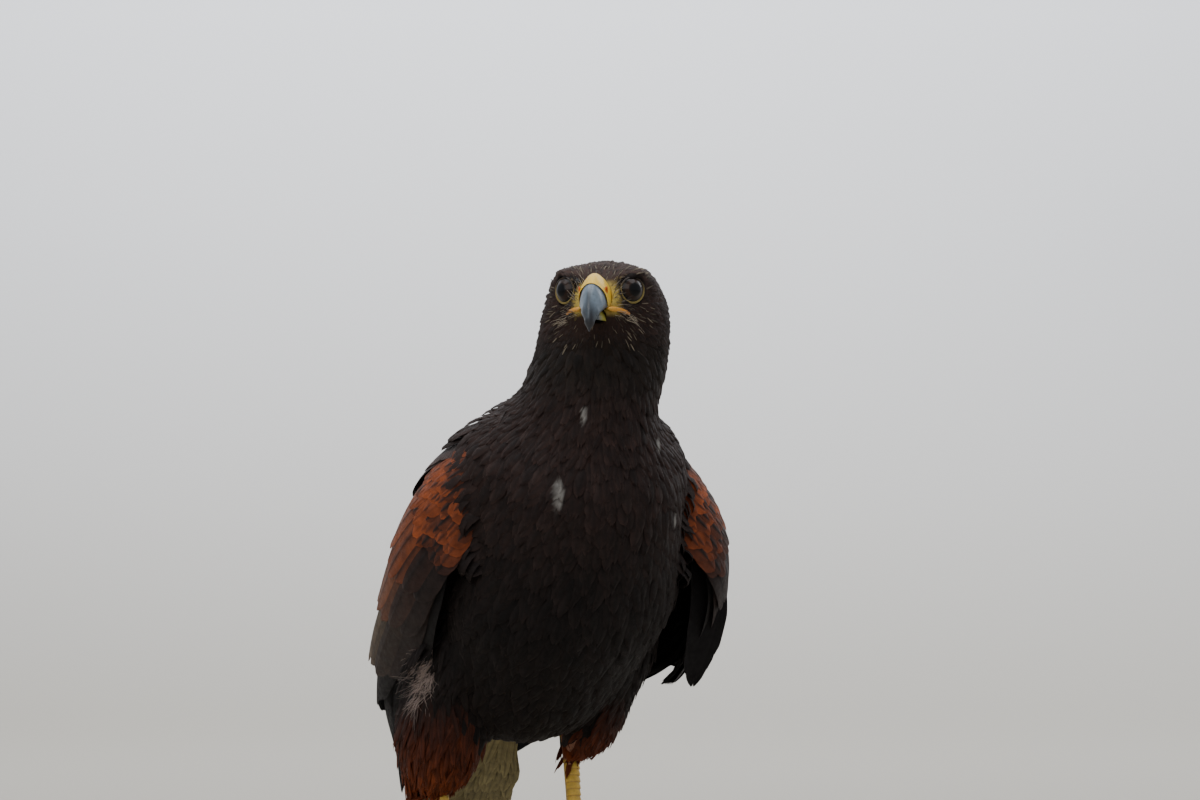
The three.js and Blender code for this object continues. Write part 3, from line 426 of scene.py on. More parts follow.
class Graph:
    """Builds one material's nodes round a principled shader."""

    def __init__(self, name: str) -> None:
        """Starts an empty material.

        Args:
            name: The material's name.
        """
        self.material = bpy.data.materials.new(name)
        self.material.use_nodes = True
        self.tree = self.material.node_tree
        self.tree.nodes.clear()
        out = self.tree.nodes.new("ShaderNodeOutputMaterial")
        self.shader = self.tree.nodes.new("ShaderNodeBsdfPrincipled")
        self.tree.links.new(self.shader.outputs["BSDF"], out.inputs["Surface"])

    def put(self, socket: bpy.types.NodeSocket, value: object) -> None:
        """Links an output to a socket, or sets the socket's value.

        Args:
            socket: The input.
            value: Another node's output, a number or a colour.
        """
        if isinstance(value, bpy.types.NodeSocket):
            self.tree.links.new(value, socket)
        elif value is not None:
            socket.default_value = value

    def shade(self, **sockets: object) -> None:
        """Fills the shader's sockets, named with underscores for spaces."""
        for name, value in sockets.items():
            self.put(self.shader.inputs[name.replace("_", " ")], value)

    def math(self, operation: str, first: object, second: object = None) -> bpy.types.NodeSocket:
        """Adds a maths node.

        Args:
            operation: The operation's name.
            first: First input.
            second: Second input, where there is one.

        Returns:
            The result.
        """
        node = self.tree.nodes.new("ShaderNodeMath")
        node.operation = operation
        self.put(node.inputs[0], first)
        self.put(node.inputs[1], second)
        return node.outputs[0]

    def blend(self, first: object, second: object, share: object, kind: str = "MIX") -> bpy.types.NodeSocket:
        """Blends two colours.

        Args:
            first: What share 0 gives.
            second: What share 1 gives.
            share: How much of the second.
            kind: The blend's name.

        Returns:
            The colour.
        """
        node = self.tree.nodes.new("ShaderNodeMix")
        node.data_type = "RGBA"
        node.blend_type = kind
        self.put(node.inputs[0], share)
        self.put(node.inputs[6], first)
        self.put(node.inputs[7], second)
        return node.outputs[2]

    def noise(
        self, scale: float, detail: float = 3.0, stretch: Sequence[float] = (1, 1, 1)
    ) -> bpy.types.NodeSocket:
        """Adds noise in the object's own space.

        Args:
            scale: Waves to the metre.
            detail: Finer waves added.
            stretch: How much each axis is scaled first.

        Returns:
            A number round a half.
        """
        place = self.tree.nodes.new("ShaderNodeTexCoord")
        size = self.tree.nodes.new("ShaderNodeMapping")
        size.inputs["Scale"].default_value = stretch
        self.tree.links.new(place.outputs["Object"], size.inputs["Vector"])
        node = self.tree.nodes.new("ShaderNodeTexNoise")
        node.inputs["Scale"].default_value = scale
        node.inputs["Detail"].default_value = detail
        self.tree.links.new(size.outputs["Vector"], node.inputs["Vector"])
        return node.outputs["Fac"]

    def spread(
        self, value: object, low: float, high: float, out_low: float, out_high: float
    ) -> bpy.types.NodeSocket:
        """Maps one range onto another.

        Args:
            value: The input.
            low: Its low end.
            high: Its high end.
            out_low: What low becomes.
            out_high: What high becomes.

        Returns:
            The mapped number.
        """
        node = self.tree.nodes.new("ShaderNodeMapRange")
        self.put(node.inputs["Value"], value)
        node.inputs["From Min"].default_value = low
        node.inputs["From Max"].default_value = high
        node.inputs["To Min"].default_value = out_low
        node.inputs["To Max"].default_value = out_high
        return node.outputs["Result"]

    def painted(self) -> bpy.types.NodeSocket:
        """Returns the colour that the mesh carries."""
        node = self.tree.nodes.new("ShaderNodeAttribute")
        node.attribute_name = "plumage"
        return node.outputs["Color"]

    def relief(self, height: object, strength: float, distance: float) -> bpy.types.NodeSocket:
        """Adds a bump.

        Args:
            height: The height as a number.
            strength: How strongly it shows.
            distance: Depth in metres of a height of one.

        Returns:
            The bumped normal.
        """
        node = self.tree.nodes.new("ShaderNodeBump")
        node.inputs["Strength"].default_value = strength
        node.inputs["Distance"].default_value = distance
        self.put(node.inputs["Height"], height)
        return node.outputs["Normal"]


@dataclass(frozen=True)
class PlumageFinish:
    """Feather vanes: barbs that slant out from the shaft, soft sheen and uneven tone."""

    name: str
    barbs_per_mm: float = 2.2
    barb_shade: float = 0.22
    mottle: float = 0.3
    roughness: float = 0.7
    sheen: float = 0.04
    gloss: float = 0.16
    barb_slant: float = 1.1

    def material(self) -> bpy.types.Material:
        """Builds the material."""
        g = Graph(self.name)
        uv = g.tree.nodes.new("ShaderNodeUVMap")
        uv.uv_map = "Vane"
        axes = g.tree.nodes.new("ShaderNodeSeparateXYZ")
        g.tree.links.new(uv.outputs["UV"], axes.inputs["Vector"])
        off_shaft = g.math("ABSOLUTE", axes.outputs["Y"])
        slant = g.math("ADD", axes.outputs["X"], g.math("MULTIPLY", off_shaft, -self.barb_slant))
        wave = g.math("SINE", g.math("MULTIPLY", slant, self.barbs_per_mm * 2 * math.pi / VANE_UNIT))
        barbs = g.spread(wave, -1.0, 1.0, 1.0 - self.barb_shade, 1.0)
        tone = g.spread(g.noise(160.0), 0.3, 0.7, 1.0 - self.mottle, 1.0 + self.mottle)
        colour = g.blend(g.painted(), g.math("MULTIPLY", barbs, tone), 1.0, "MULTIPLY")
        g.shade(
            Base_Color=colour,
            Roughness=g.spread(g.noise(420.0), 0.3, 0.7, self.roughness - 0.08, self.roughness + 0.1),
            Specular_IOR_Level=self.gloss,
            Sheen_Weight=self.sheen,
            Sheen_Tint=(0.75, 0.6, 0.5, 1.0),
            Sheen_Roughness=0.45,
            Normal=g.relief(wave, 0.35, 0.00012),
        )
        return g.material


@dataclass(frozen=True)
class SkinFinish:
    """The ground under the coat: the coat's own markings, broken into fine down."""

    name: str

    def material(self) -> bpy.types.Material:
        """Builds the material."""
        g = Graph(self.name)
        down = g.noise(900.0, 4.0, (1, 1, 0.35))
        colour = g.blend(g.painted(), g.spread(down, 0.3, 0.7, 0.65, 1.15), 1.0, "MULTIPLY")
        g.shade(
            Base_Color=colour,
            Roughness=g.spread(down, 0.3, 0.7, 0.75, 0.9),
            Specular_IOR_Level=0.12,
            Normal=g.relief(down, 0.7, 0.0004),
        )
        return g.material


@dataclass(frozen=True)
class HornFinish:
    """Bill or claw: fine growth lines, a painted fade and a dull polish."""

    name: str
    line_scale: float = 260.0
    roughness: float = 0.34

    def material(self) -> bpy.types.Material:
        """Builds the material."""
        g = Graph(self.name)
        lines = g.noise(self.line_scale, 5.0, (2.2, 0.6, 2.2))
        colour = g.blend(g.painted(), g.spread(lines, 0.3, 0.7, 0.78, 1.18), 1.0, "MULTIPLY")
        g.shade(
            Base_Color=colour,
            Roughness=g.spread(lines, 0.3, 0.7, self.roughness - 0.08, self.roughness + 0.14),
            Coat_Weight=0.18,
            Coat_Roughness=0.25,
            Normal=g.relief(lines, 0.25, 0.00025),
        )
        return g.material


@dataclass(frozen=True)
class BareSkinFinish:
    """Cere, lids, lips and legs: waxy skin with fine pores and a little light through it."""

    name: str
    pore_scale: float = 1500.0
    roughness: float = 0.42
    grime: float = 0.25

    def material(self) -> bpy.types.Material:
        """Builds the material."""
        g = Graph(self.name)
        pores = g.noise(self.pore_scale, 4.0)
        dirt = g.spread(g.noise(230.0, 5.0), 0.45, 0.75, 0.0, self.grime)
        worn = g.blend(g.painted(), (0.16, 0.1, 0.05, 1.0), dirt)
        colour = g.blend(worn, g.spread(pores, 0.3, 0.7, 0.86, 1.1), 1.0, "MULTIPLY")
        g.shade(
            Base_Color=colour,
            Roughness=g.spread(pores, 0.3, 0.7, self.roughness - 0.08, self.roughness + 0.14),
            Subsurface_Weight=0.06,
            Specular_IOR_Level=0.3,
            Subsurface_Radius=(0.6, 0.3, 0.1),
            Subsurface_Scale=0.0015,
            Normal=g.relief(pores, 0.35, 0.0002),
        )
        return g.material


@dataclass(frozen=True)
class EyeFinish:
    """A wet, dark eye: the painted iris under a clear coat."""

    name: str

    def material(self) -> bpy.types.Material:
        """Builds the material."""
        g = Graph(self.name)
        rays = g.noise(1400.0, 6.0)
        colour = g.blend(g.painted(), g.spread(rays, 0.3, 0.7, 0.7, 1.25), 1.0, "MULTIPLY")
        g.shade(
            Base_Color=colour,
            Roughness=0.35,
            Coat_Weight=0.3,
            Coat_Roughness=0.05,
            Specular_IOR_Level=0.08,
        )
        return g.material


@dataclass(frozen=True)
class StudioFinish:
    """The floor and the wall behind: a plain pale ground, a little deeper in tone near the floor."""

    name: str
    high: tuple[float, float, float, float] = (0.93, 0.94, 0.96, 1.0)
    low: tuple[float, float, float, float] = (0.36, 0.34, 0.3, 1.0)
    fade: tuple[float, float] = (0.0, 0.85)

    def material(self) -> bpy.types.Material:
        """Builds the material."""
        g = Graph(self.name)
        place = g.tree.nodes.new("ShaderNodeTexCoord")
        axes = g.tree.nodes.new("ShaderNodeSeparateXYZ")
        g.tree.links.new(place.outputs["Object"], axes.inputs["Vector"])
        rise = g.spread(axes.outputs["Z"], self.fade[0], self.fade[1], 0.0, 1.0)
        colour = g.blend(self.low, self.high, rise)
        g.shade(Base_Color=colour, Roughness=0.9, Specular_IOR_Level=0.2)
        return g.material


class Bench:
    """Makes meshes from arrays and hands them to the frame."""

    def __init__(self, offset: Array) -> None:
        """Keeps how the bird's frame sits in the row frame.

        Args:
            offset: What is added to a place, in millimetres.
        """
        self.offset = offset

    def mesh(
        self,
        name: str,
        points: Array,
        faces: Array | Sequence[Sequence[int]],
        colours: Array,
        uvs: dict[str, Array] | None = None,
    ) -> bpy.types.Object:
        """Makes one object.

        Args:
            name: The piece's name.
            points: Places in the bird's millimetres.
            faces: Corner numbers of each face.
            colours: One colour, or one for each point.
            uvs: Named maps with one pair for each point.

        Returns:
            The object, linked to the scene.
        """
        sizes = np.array([len(f) for f in faces])
        corners = np.concatenate([np.asarray(f) for f in faces]) if isinstance(faces, list) else faces.ravel()
        data = bpy.data.meshes.new(name)
        data.vertices.add(len(points))
        data.vertices.foreach_set("co", ((points + self.offset) * MM).astype(np.float32).ravel())
        data.loops.add(len(corners))
        data.loops.foreach_set("vertex_index", corners.astype(np.int32))
        data.polygons.add(len(sizes))
        data.polygons.foreach_set("loop_start", (np.cumsum(sizes) - sizes).astype(np.int32))
        data.update(calc_edges=True)
        data.polygons.foreach_set("use_smooth", np.ones(len(sizes), bool))
        paint = data.color_attributes.new("plumage", "FLOAT_COLOR", "POINT")
        rgba = np.ones((len(points), 4), np.float32)
        rgba[:, :3] = colours
        paint.data.foreach_set("color", rgba.ravel())
        for label, pairs in (uvs or {}).items():
            layer = data.uv_layers.new(name=label)
            layer.data.foreach_set("uv", pairs[corners].astype(np.float32).ravel())
        made = bpy.data.objects.new(name, data)
        bpy.context.scene.collection.objects.link(made)
        return made

    def feathers(self, name: str, batch: Batch) -> bpy.types.Object:
        """Makes one object from a batch of feathers.

        Args:
            name: The piece's name.
            batch: The feathers.

        Returns:
            The object.
        """
        count, size = len(batch.points), batch.grid.size
        starts = (np.arange(count) * size)[:, None, None]
        faces = (batch.grid.faces[None] + starts).reshape(-1, 4)
        uvs = {"Vane": batch.vane.reshape(-1, 2)}
        if batch.bake is not None:
            uvs["OFBake"] = batch.bake.reshape(-1, 2)
        made = self.mesh(name, batch.points.reshape(-1, 3), faces, batch.colours.reshape(-1, 3), uvs)
        ends = np.empty(len(made.data.edges) * 2, np.int32)
        made.data.edges.foreach_get("vertices", ends)
        ends = ends.reshape(-1, 2) % size
        sharp = made.data.attributes.new("sharp_edge", "BOOLEAN", "EDGE")
        sharp.data.foreach_set("value", batch.grid.edge[ends[:, 0], ends[:, 1]])
        return made

    def dress(self, made: bpy.types.Object, material: bpy.types.Material, slot: str, *nodes: str) -> None:
        """Gives an object its material and hides the nodes that it stands for.

        Args:
            made: The object.
            material: Its finish.
            slot: The record's material slot; not used.
            nodes: The solids that it replaces.
        """
        made.data.materials.clear()
        made.data.materials.append(material)
        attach(made, "root")
        if nodes:
            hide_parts(*nodes)
        LOG.info("%s: %d faces", made.name, len(made.data.polygons))

    def node_points(self, name: str) -> tuple[Array, list[tuple[int, ...]]]:
        """Reads a solid of the frame in the bird's millimetres.

        Args:
            name: The node's name.

        Returns:
            Its corners and its faces.
        """
        data = bpy.data.objects[name].data
        points = np.empty(len(data.vertices) * 3, np.float32)
        data.vertices.foreach_get("co", points)
        faces = [tuple(p.vertices) for p in data.polygons]
        return points.reshape(-1, 3) / MM - self.offset, faces

    def node_tree(self, *names: str) -> BVHTree:
        """Builds a search tree from solids of the frame.

        Args:
            names: The nodes.

        Returns:
            The tree, in the bird's millimetres.
        """
        points, faces = gather(self.node_points(name) for name in names)
        return BVHTree.FromPolygons(points.tolist(), faces)


def gather(forms: Iterable[tuple[Array, Sequence]]) -> tuple[Array, list]:
    """Puts several forms together.

    Args:
        forms: Each form's points and faces.

    Returns:
        All points and all faces.
    """
    points: list[Array] = []
    faces: list = []
    start = 0
    for more, corners in forms:
        points.append(more)
        faces += [tuple(c + start for c in f) for f in corners]
        start += len(more)
    return np.vstack(points), faces


def ring_quads(rings: int, sides: int, closed: bool = False) -> list:
    """Lists the quads between neighbouring rings of corners.

    Args:
        rings: How many rings.
        sides: Corners of each ring.
        closed: True where the last ring meets the first.

    Returns:
        The quads.
    """
    quads = []
    for i in range(rings if closed else rings - 1):
        a, b = i * sides, (i + 1) % rings * sides
        for k in range(sides):
            n = (k + 1) % sides
            quads.append((a + k, a + n, b + n, b + k))
    return quads


def capped_rings(rings: int, sides: int) -> list:
    """Lists the faces of a closed form: its rings' quads and a fan to one more point at each end.

    Args:
        rings: How many rings.
        sides: Corners of each ring.

    Returns:
        The faces. The two more points come after the rings', first the one at the start.
    """
    faces = ring_quads(rings, sides)
    first = rings * sides
    for k in range(sides):
        n = (k + 1) % sides
        faces.append((first, n, k))
        faces.append((first + 1, first - sides + k, first - sides + n))
    return faces


def turned(faces: list) -> list:
    """Turns faces over.

    Args:
        faces: The faces.

    Returns:
        The same faces, looking the other way, each still from its first corner.
    """
    return [(f[0], *f[:0:-1]) for f in faces]


def tube(line: Array, radius: Array, sides: int, across: Array, flatten: float = 1.0) -> tuple[Array, list]:
    """Builds a closed tube along a line.

    Args:
        line: The middle's places.
        radius: A radius for each place, or for each place and side.
        sides: Corners of each ring.
        across: A direction that stays to the side all along.
        flatten: Thickness as a share of the width.

    Returns:
        The points and faces. Side 0 lies across, and the top is a quarter turn on.
    """
    along = unit(np.gradient(line, axis=0))
    side = unit(across - along * (along @ across)[:, None])
    top = np.cross(side, along)
    angle = 2 * math.pi * np.arange(sides) / sides
    reach = radius if np.ndim(radius) == 2 else np.repeat(np.asarray(radius)[:, None], sides, axis=1)
    ring = (
        line[:, None]
        + side[:, None] * (reach * np.cos(angle))[..., None]
        + top[:, None] * (reach * np.sin(angle) * flatten)[..., None]
    )
    start = line[:1] - along[:1] * reach[0].min() * 0.5
    end = line[-1:] + along[-1:] * reach[-1].min() * 0.5
    faces = [f[::-1] for f in capped_rings(len(line), sides)]
    return np.vstack([ring.reshape(-1, 3), start, end]), faces


def plate(top: Array, bottom: Array) -> tuple[Array, list]:
    """Builds a closed plate between two grids of places.

    Args:
        top: Rows and columns of places on the outer face.
        bottom: The same on the inner face.

    Returns:
        The points and faces.
    """
    rows, columns = top.shape[:2]
    under = rows * columns
    points = np.vstack([top.reshape(-1, 3), bottom.reshape(-1, 3)])
    faces: list = []
    for i in range(rows - 1):
        for k in range(columns - 1):
            a = i * columns + k
            b = a + columns
            faces.append((a, b, b + 1, a + 1))
            faces.append((a + 1 + under, b + 1 + under, b + under, a + under))
        for a, b in (((i + 1) * columns, i * columns), ((i + 1) * columns - 1, (i + 2) * columns - 1)):
            faces.append((a, b, b + under, a + under))
    for k in range(columns - 1):
        last = (rows - 1) * columns
        for a, b in ((k, k + 1), (last + k + 1, last + k)):
            faces.append((a, b, b + under, a + under))
    return points, faces


@dataclass
class Skin:
    """One skin over head, neck, trunk and thighs, inside the solids by the coat's depth."""

    stance: Stance
    bench: Bench
    voxel: float = 1.7
    rounds: int = 7
    swell: float = 0.35
    depth: float = 2.1
    face_depth: float = 0.75
    made: bpy.types.Object | None = None
    points: Array = field(default_factory=lambda: np.zeros((0, 3)))
    normals: Array = field(default_factory=lambda: np.zeros((0, 3)))
    triangles: Array = field(default_factory=lambda: np.zeros((0, 3), int))
    tree: BVHTree | None = None
    owners: dict[str, BVHTree] = field(default_factory=dict)

    def build(self) -> None:
        """Joins the solids of flesh, smooths them and draws them in."""
        joined = bmesh.new()
        for name in FLESH:
            copy = bpy.data.objects[name].data.copy()
            bm = bmesh.new()
            bm.from_mesh(copy)
            bmesh.ops.remove_doubles(bm, verts=bm.verts, dist=1e-6)
            bm.normal_update()
            for vert in bm.verts:
                vert.co += vert.normal * self.swell * MM
            bm.to_mesh(copy)
            bm.free()
            joined.from_mesh(copy)
            bpy.data.meshes.remove(copy)
        data = bpy.data.meshes.new("skin")
        joined.to_mesh(data)
        joined.free()
        self.made = bpy.data.objects.new("skin", data)
        bpy.context.scene.collection.objects.link(self.made)
        remesh = self.made.modifiers.new("close", "REMESH")
        remesh.mode = "VOXEL"
        remesh.voxel_size = self.voxel * MM
        soften = self.made.modifiers.new("soften", "SMOOTH")
        soften.factor = 0.5
        soften.iterations = self.rounds
        graph = bpy.context.evaluated_depsgraph_get()
        final = bpy.data.meshes.new_from_object(self.made.evaluated_get(graph))
        self.made.modifiers.clear()
        self.made.data = final
        self._draw_in()
        self._keep()

    def _read(self) -> tuple[Array, Array]:
        """Returns the skin's corners in metres and its normals."""
        data = self.made.data
        co = np.empty(len(data.vertices) * 3, np.float32)
        normal = np.empty(len(data.vertices) * 3, np.float32)
        data.vertices.foreach_get("co", co)
        data.vertex_normals.foreach_get("vector", normal)
        return co.reshape(-1, 3), normal.reshape(-1, 3)

    def _draw_in(self) -> None:
        """Moves the skin inwards, less on the face than on the body."""
        co, normal = self._read()
        head = self.stance.to_head(co / MM - self.bench.offset)
        share = smooth(head[:, 2], -12.0, -60.0)
        co -= normal * ((self.face_depth + (self.depth - self.face_depth) * share) * MM)[:, None]
        self._slim_hem(co)
        self.made.data.vertices.foreach_set("co", co.ravel())
        self.made.data.update()

    def _slim_hem(self, co: Array) -> None:
        """Draws the left trouser's inner side in, so that the heel shows beside it.

        Args:
            co: The skin's corners in metres, which are moved.
        """
        inner, edge, share, near = 4.0, 29.0, 0.7, 4.0
        top, full = 100.0, 86.0
        trouser = self.bench.node_tree("thigh_left")
        own = co / MM - self.bench.offset
        low = np.flatnonzero((own[:, 2] < top) & (own[:, 0] < edge) & (own[:, 0] > inner))
        for n in low:
            if trouser.find_nearest(Vector(own[n]))[3] < near:
                weight = float(smooth(own[n, 2], top, full))
                co[n, 0] += (edge - own[n, 0]) * share * weight * MM

    def _keep(self) -> None:
        """Keeps the skin's corners, triangles and search trees in millimetres."""
        data = self.made.data
        data.calc_loop_triangles()
        co, normal = self._read()
        corners = np.empty(len(data.loop_triangles) * 3, np.int32)
        data.loop_triangles.foreach_get("vertices", corners)
        self.points = co / MM - self.bench.offset
        self.normals = normal.astype(float)
        self.triangles = corners.reshape(-1, 3)
        self.tree = BVHTree.FromPolygons(self.points.tolist(), self.triangles.tolist())
        for name in FLESH:
            self.owners[name] = self.bench.node_tree(name)

    def owner(self, places: Array) -> Array:
        """Names the solid that each place belongs to.

        Args:
            places: Places on the skin.

        Returns:
            The number of the nearest node for each, in the order of the nodes.
        """
        best = np.full(len(places), 1e9)
        found = np.zeros(len(places), int)
        for number, tree in enumerate(self.owners.values()):
            away = np.array([tree.find_nearest(Vector(p))[3] for p in places])
            closer = away < best
            best[closer] = away[closer]
            found[closer] = number
        return found


class Markings:
    """The bird's colours by place, shared by skin and coat."""

    WHITE_MARKS = (
        (25.5, 211.0, 2.6, 9.5),
        (38.0, 250.0, 1.6, 5.0),
        (75.5, 236.0, 0.8, 4.5),
        (84.0, 198.0, 0.8, 4.0),
    )
    THIGH_FROM, THIGH_TO = 116.0, 92.0

    def __init__(self, stance: Stance) -> None:
        """Keeps the stance.

        Args:
            stance: How the trunk and head are turned.
        """
        self.stance = stance

    def head(self, places: Array) -> Array:
        """Colours the head and the upper neck.

        Args:
            places: Places in the bird's frame.

        Returns:
            A colour for each.
        """
        q = self.stance.to_head(places)
        # Lighter from the cheeks up to the crown: painted light falling on the top of the head.
        colour = mix(Shade.CHEEK.linear(), Shade.CROWN.linear(), smooth(q[:, 2], -2.0, 20.0))
        throat = smooth(q[:, 2], -6.0, -22.0) * smooth(q[:, 1], 4.0, -10.0)
        colour = mix(colour, Shade.THROAT.linear(), throat)
        colour = mix(colour, Shade.CHOCOLATE.linear(), smooth(q[:, 2], -22.0, -48.0))
        return mix(colour, Shade.LORE.linear() * 0.8, self.lore(q))

    def lore(self, q: Array) -> Array:
        """Finds how bare and pale the face is between bill and eye.

        Args:
            q: Places in the head's frame.

        Returns:
            A share for each.
        """
        side = smooth(np.abs(q[:, 0]), 14.0, 9.5)
        front = smooth(q[:, 1], -21.0, -27.0)
        height = smooth(q[:, 2], -5.0, -1.5) * smooth(q[:, 2], 17.0, 12.5)
        return side * front * height

    def trunk(self, places: Array) -> Array:
        """Colours the neck's base and the trunk.

        Args:
            places: Places in the bird's frame.

        Returns:
            A colour for each.
        """
        body = self.stance.to_body(places)
        # Darker from the breast down to the belly: partly the belly's own darker plumage, partly painted
        # shade on the lower body.
        colour = mix(Shade.CHOCOLATE.linear(), Shade.BELLY.linear(), smooth(places[:, 2], 232.0, 150.0))
        colour = mix(colour, Shade.CHOCOLATE.linear(), smooth(body[:, 1], -20.0, 10.0) * 0.8)
        vent = smooth(body[:, 1], 12.0, 26.0) * smooth(body[:, 2], 110.0, 92.0)
        return mix(colour, Shade.CREAM.linear() * 0.8, vent)

    def mark(self, places: Array) -> Array:
        """Finds the few white marks on the breast.

        Args:
            places: Places in the bird's frame.

        Returns:
            A share for each.
        """
        share = np.zeros(len(places))
        front = smooth(places[:, 1], -40.0, -60.0)
        for x, z, wide, high in self.WHITE_MARKS:
            near = ((places[:, 0] - x) / wide) ** 2 + ((places[:, 2] - z) / high) ** 2
            share = np.maximum(share, smooth(near, 1.0, 0.2) * front)
        return share

    def thigh(self, places: Array) -> Array:
        """Colours the thighs, dark above and rufous below.

        Args:
            places: Places in the bird's frame.

        Returns:
            A colour for each.
        """
        low = smooth(places[:, 2], self.THIGH_FROM, self.THIGH_TO)
        hem = smooth(places[:, 2], 96.0, 70.0)
        rufous = mix(Shade.RUFOUS_DEEP.linear(), Shade.RUFOUS.linear() * 0.75, hem)
        return mix(Shade.BELLY.linear() * 1.25, rufous, low)


@dataclass
class CoatRegion:
    """How the feathers of one stretch of the coat are made."""

    name: str
    nodes: tuple[int, ...]
    spacing: float
    length: float
    half_width: float
    rows: int
    columns: int
    lift: float
    keep: Callable[[Array, Array], Array]
    colour: Callable[[Array], Array]
    pale: float = 0.0
    uneven: float = 9.0
    loose: float = 0.0
    by_point: bool = False


@dataclass
class Growth:
    """Where a region's feathers stand, which way they lie and how large they are."""

    roots: Array
    normals: Array
    ways: Array
    mid: Array
    end: Array
    end_out: Array
    length: Array
    half: Array
    lift: Array


class Coat:
    """Small feathers over the skin, region by region."""

    SUNK = 0.7
    THICKNESS = 0.22
    TRIES = 3.4
    APART = 0.9
    REACH = 9.0
    FACE = (0.0, -34.0, 3.0)
    FLECKED = (0.0, -34.0, 2.0)
    BILL = (0.0, -37.0, 7.0)

    def __init__(self, stance: Stance, bench: Bench, skin: Skin, marks: Markings) -> None:
        """Keeps what the feathers are laid on.

        Args:
            stance: How the trunk and head are turned.
            bench: Makes the meshes.
            skin: The skin under the coat.
            marks: The colours.
        """
        self.stance = stance
        self.bench = bench
        self.skin = skin
        self.marks = marks
        self.rng = np.random.default_rng(41)
        self.finish = PlumageFinish("small_feathers").material()
        kinds = ("wing_{}_coverts", "scapulars_{}")
        wings = [kind.format(hand) for kind in kinds for hand in SIDES.values()]
        self.wing_tree = bench.node_tree(*wings)
        self.cover_tree = bench.node_tree(*wings, *(f"wing_{hand}_flight" for hand in SIDES.values()))
        corners = skin.points[skin.triangles]
        cross = np.cross(corners[:, 1] - corners[:, 0], corners[:, 2] - corners[:, 0])
        self.area = np.linalg.norm(cross, axis=1) / 2
        self.middle = corners.mean(axis=1)
        self.facing = unit(cross)
        self.of_node = skin.owner(self.middle)

    def lie(self, places: Array, normals: Array) -> Array:
        """Finds the way that feathers point.

        Args:
            places: Places on the skin.
            normals: The skin's normals there.

        Returns:
            A direction in the surface for each.
        """
        q = self.stance.to_head(places)
        body = self.stance.to_body(places)
        from_bill = q - np.array(self.BILL)
        from_bill[:, 2] = from_bill[:, 2] - 6.0 * smooth(q[:, 2], 4.0, -18.0)
        away = self.stance.head_direction(unit(from_bill))
        down_body = self.stance.body_point([0.05, 0.46, -0.86]) - self.stance.body_point([0, 0, 0])
        off_middle = np.abs(body[:, 0])
        spread = np.zeros_like(places)
        below_neck = smooth(body[:, 2], 250, 215)
        spread[:, 0] = np.sign(body[:, 0]) * 0.22 * smooth(off_middle, 4.0, 30.0) * below_neck
        trunk = unit(down_body + spread)
        share = smooth(q[:, 2], -14.0, -44.0) * smooth(body[:, 2], 292.0, 268.0)
        way = mix(away, trunk, share)
        legs = (body[:, 2] < 112) & (off_middle > 16)
        way[legs] = unit(self.stance.body_point([0.0, 0.2, -1.0]) - self.stance.body_point([0, 0, 0]))
        way = way - normals * np.sum(way * normals, axis=1, keepdims=True)
        return unit(way)

    def _scatter(self, region: CoatRegion) -> tuple[Array, Array]:
        """Spreads roots evenly over a region.

        Args:
            region: The region.

        Returns:
            The roots' places and normals.
        """
        chosen = np.isin(self.of_node, region.nodes) & region.keep(self.middle, self.facing)
        numbers = np.flatnonzero(chosen)
        area = self.area[numbers]
        count = int(area.sum() / region.spacing**2 * self.TRIES)
        picked = numbers[self.rng.choice(len(numbers), count, p=area / area.sum())]
        a, b = self.rng.random(count), self.rng.random(count)
        fold = a + b > 1
        a[fold], b[fold] = 1 - a[fold], 1 - b[fold]
        corner = self.skin.triangles[picked]
        weights = np.stack([1 - a - b, a, b], axis=1)[..., None]
        places = (self.skin.points[corner] * weights).sum(axis=1)
        normals = unit((self.skin.normals[corner] * weights).sum(axis=1))
        cells: dict[tuple[int, int, int], list[int]] = {}
        kept: list[int] = []
        grid = np.floor(places / region.spacing).astype(int)
        near = [(i, j, k) for i in (-1, 0, 1) for j in (-1, 0, 1) for k in (-1, 0, 1)]
        limit = (region.spacing * self.APART) ** 2
        coords = places.tolist()
        for n, (x, y, z) in enumerate(grid.tolist()):
            px, py, pz = coords[n]
            close = False
            for i, j, k in near:
                for m in cells.get((x + i, y + j, z + k), ()):
                    qx, qy, qz = coords[m]
                    if (px - qx) ** 2 + (py - qy) ** 2 + (pz - qz) ** 2 < limit:
                        close = True
                        break
                if close:
                    break
            if not close:
                cells.setdefault((x, y, z), []).append(n)
                kept.append(n)
        return places[kept], normals[kept]

    def _open(self, places: Array, normals: Array) -> Array:
        """Finds which roots no wing covers.

        Args:
            places: Roots.
            normals: Normals there.

        Returns:
            True where the root is open.
        """
        rays = zip(places, normals)
        cast = self.cover_tree.ray_cast
        return np.array([cast(Vector(p), Vector(n), self.REACH)[0] is None for p, n in rays])

    def _surface(self, places: Array, normals: Array) -> tuple[Array, Array]:
        """Drops places onto the skin, or onto a wing that lies over it.

        Args:
            places: Places near the skin.
            normals: The way that is out.

        Returns:
            Places on the surface and the normals there.
        """
        found = np.empty_like(places)
        facing = np.empty_like(places)
        for n, (p, d) in enumerate(zip(places, normals)):
            at, out, _, _ = self.skin.tree.find_nearest(Vector(p))
            hit = self.wing_tree.ray_cast(at + out * self.REACH, -out, self.REACH)
            if hit[0] is not None and hit[1].dot(Vector(d)) > 0.2:
                found[n], facing[n] = hit[0] - out * 0.5, d
            else:
                found[n], facing[n] = at, out
        return found, facing

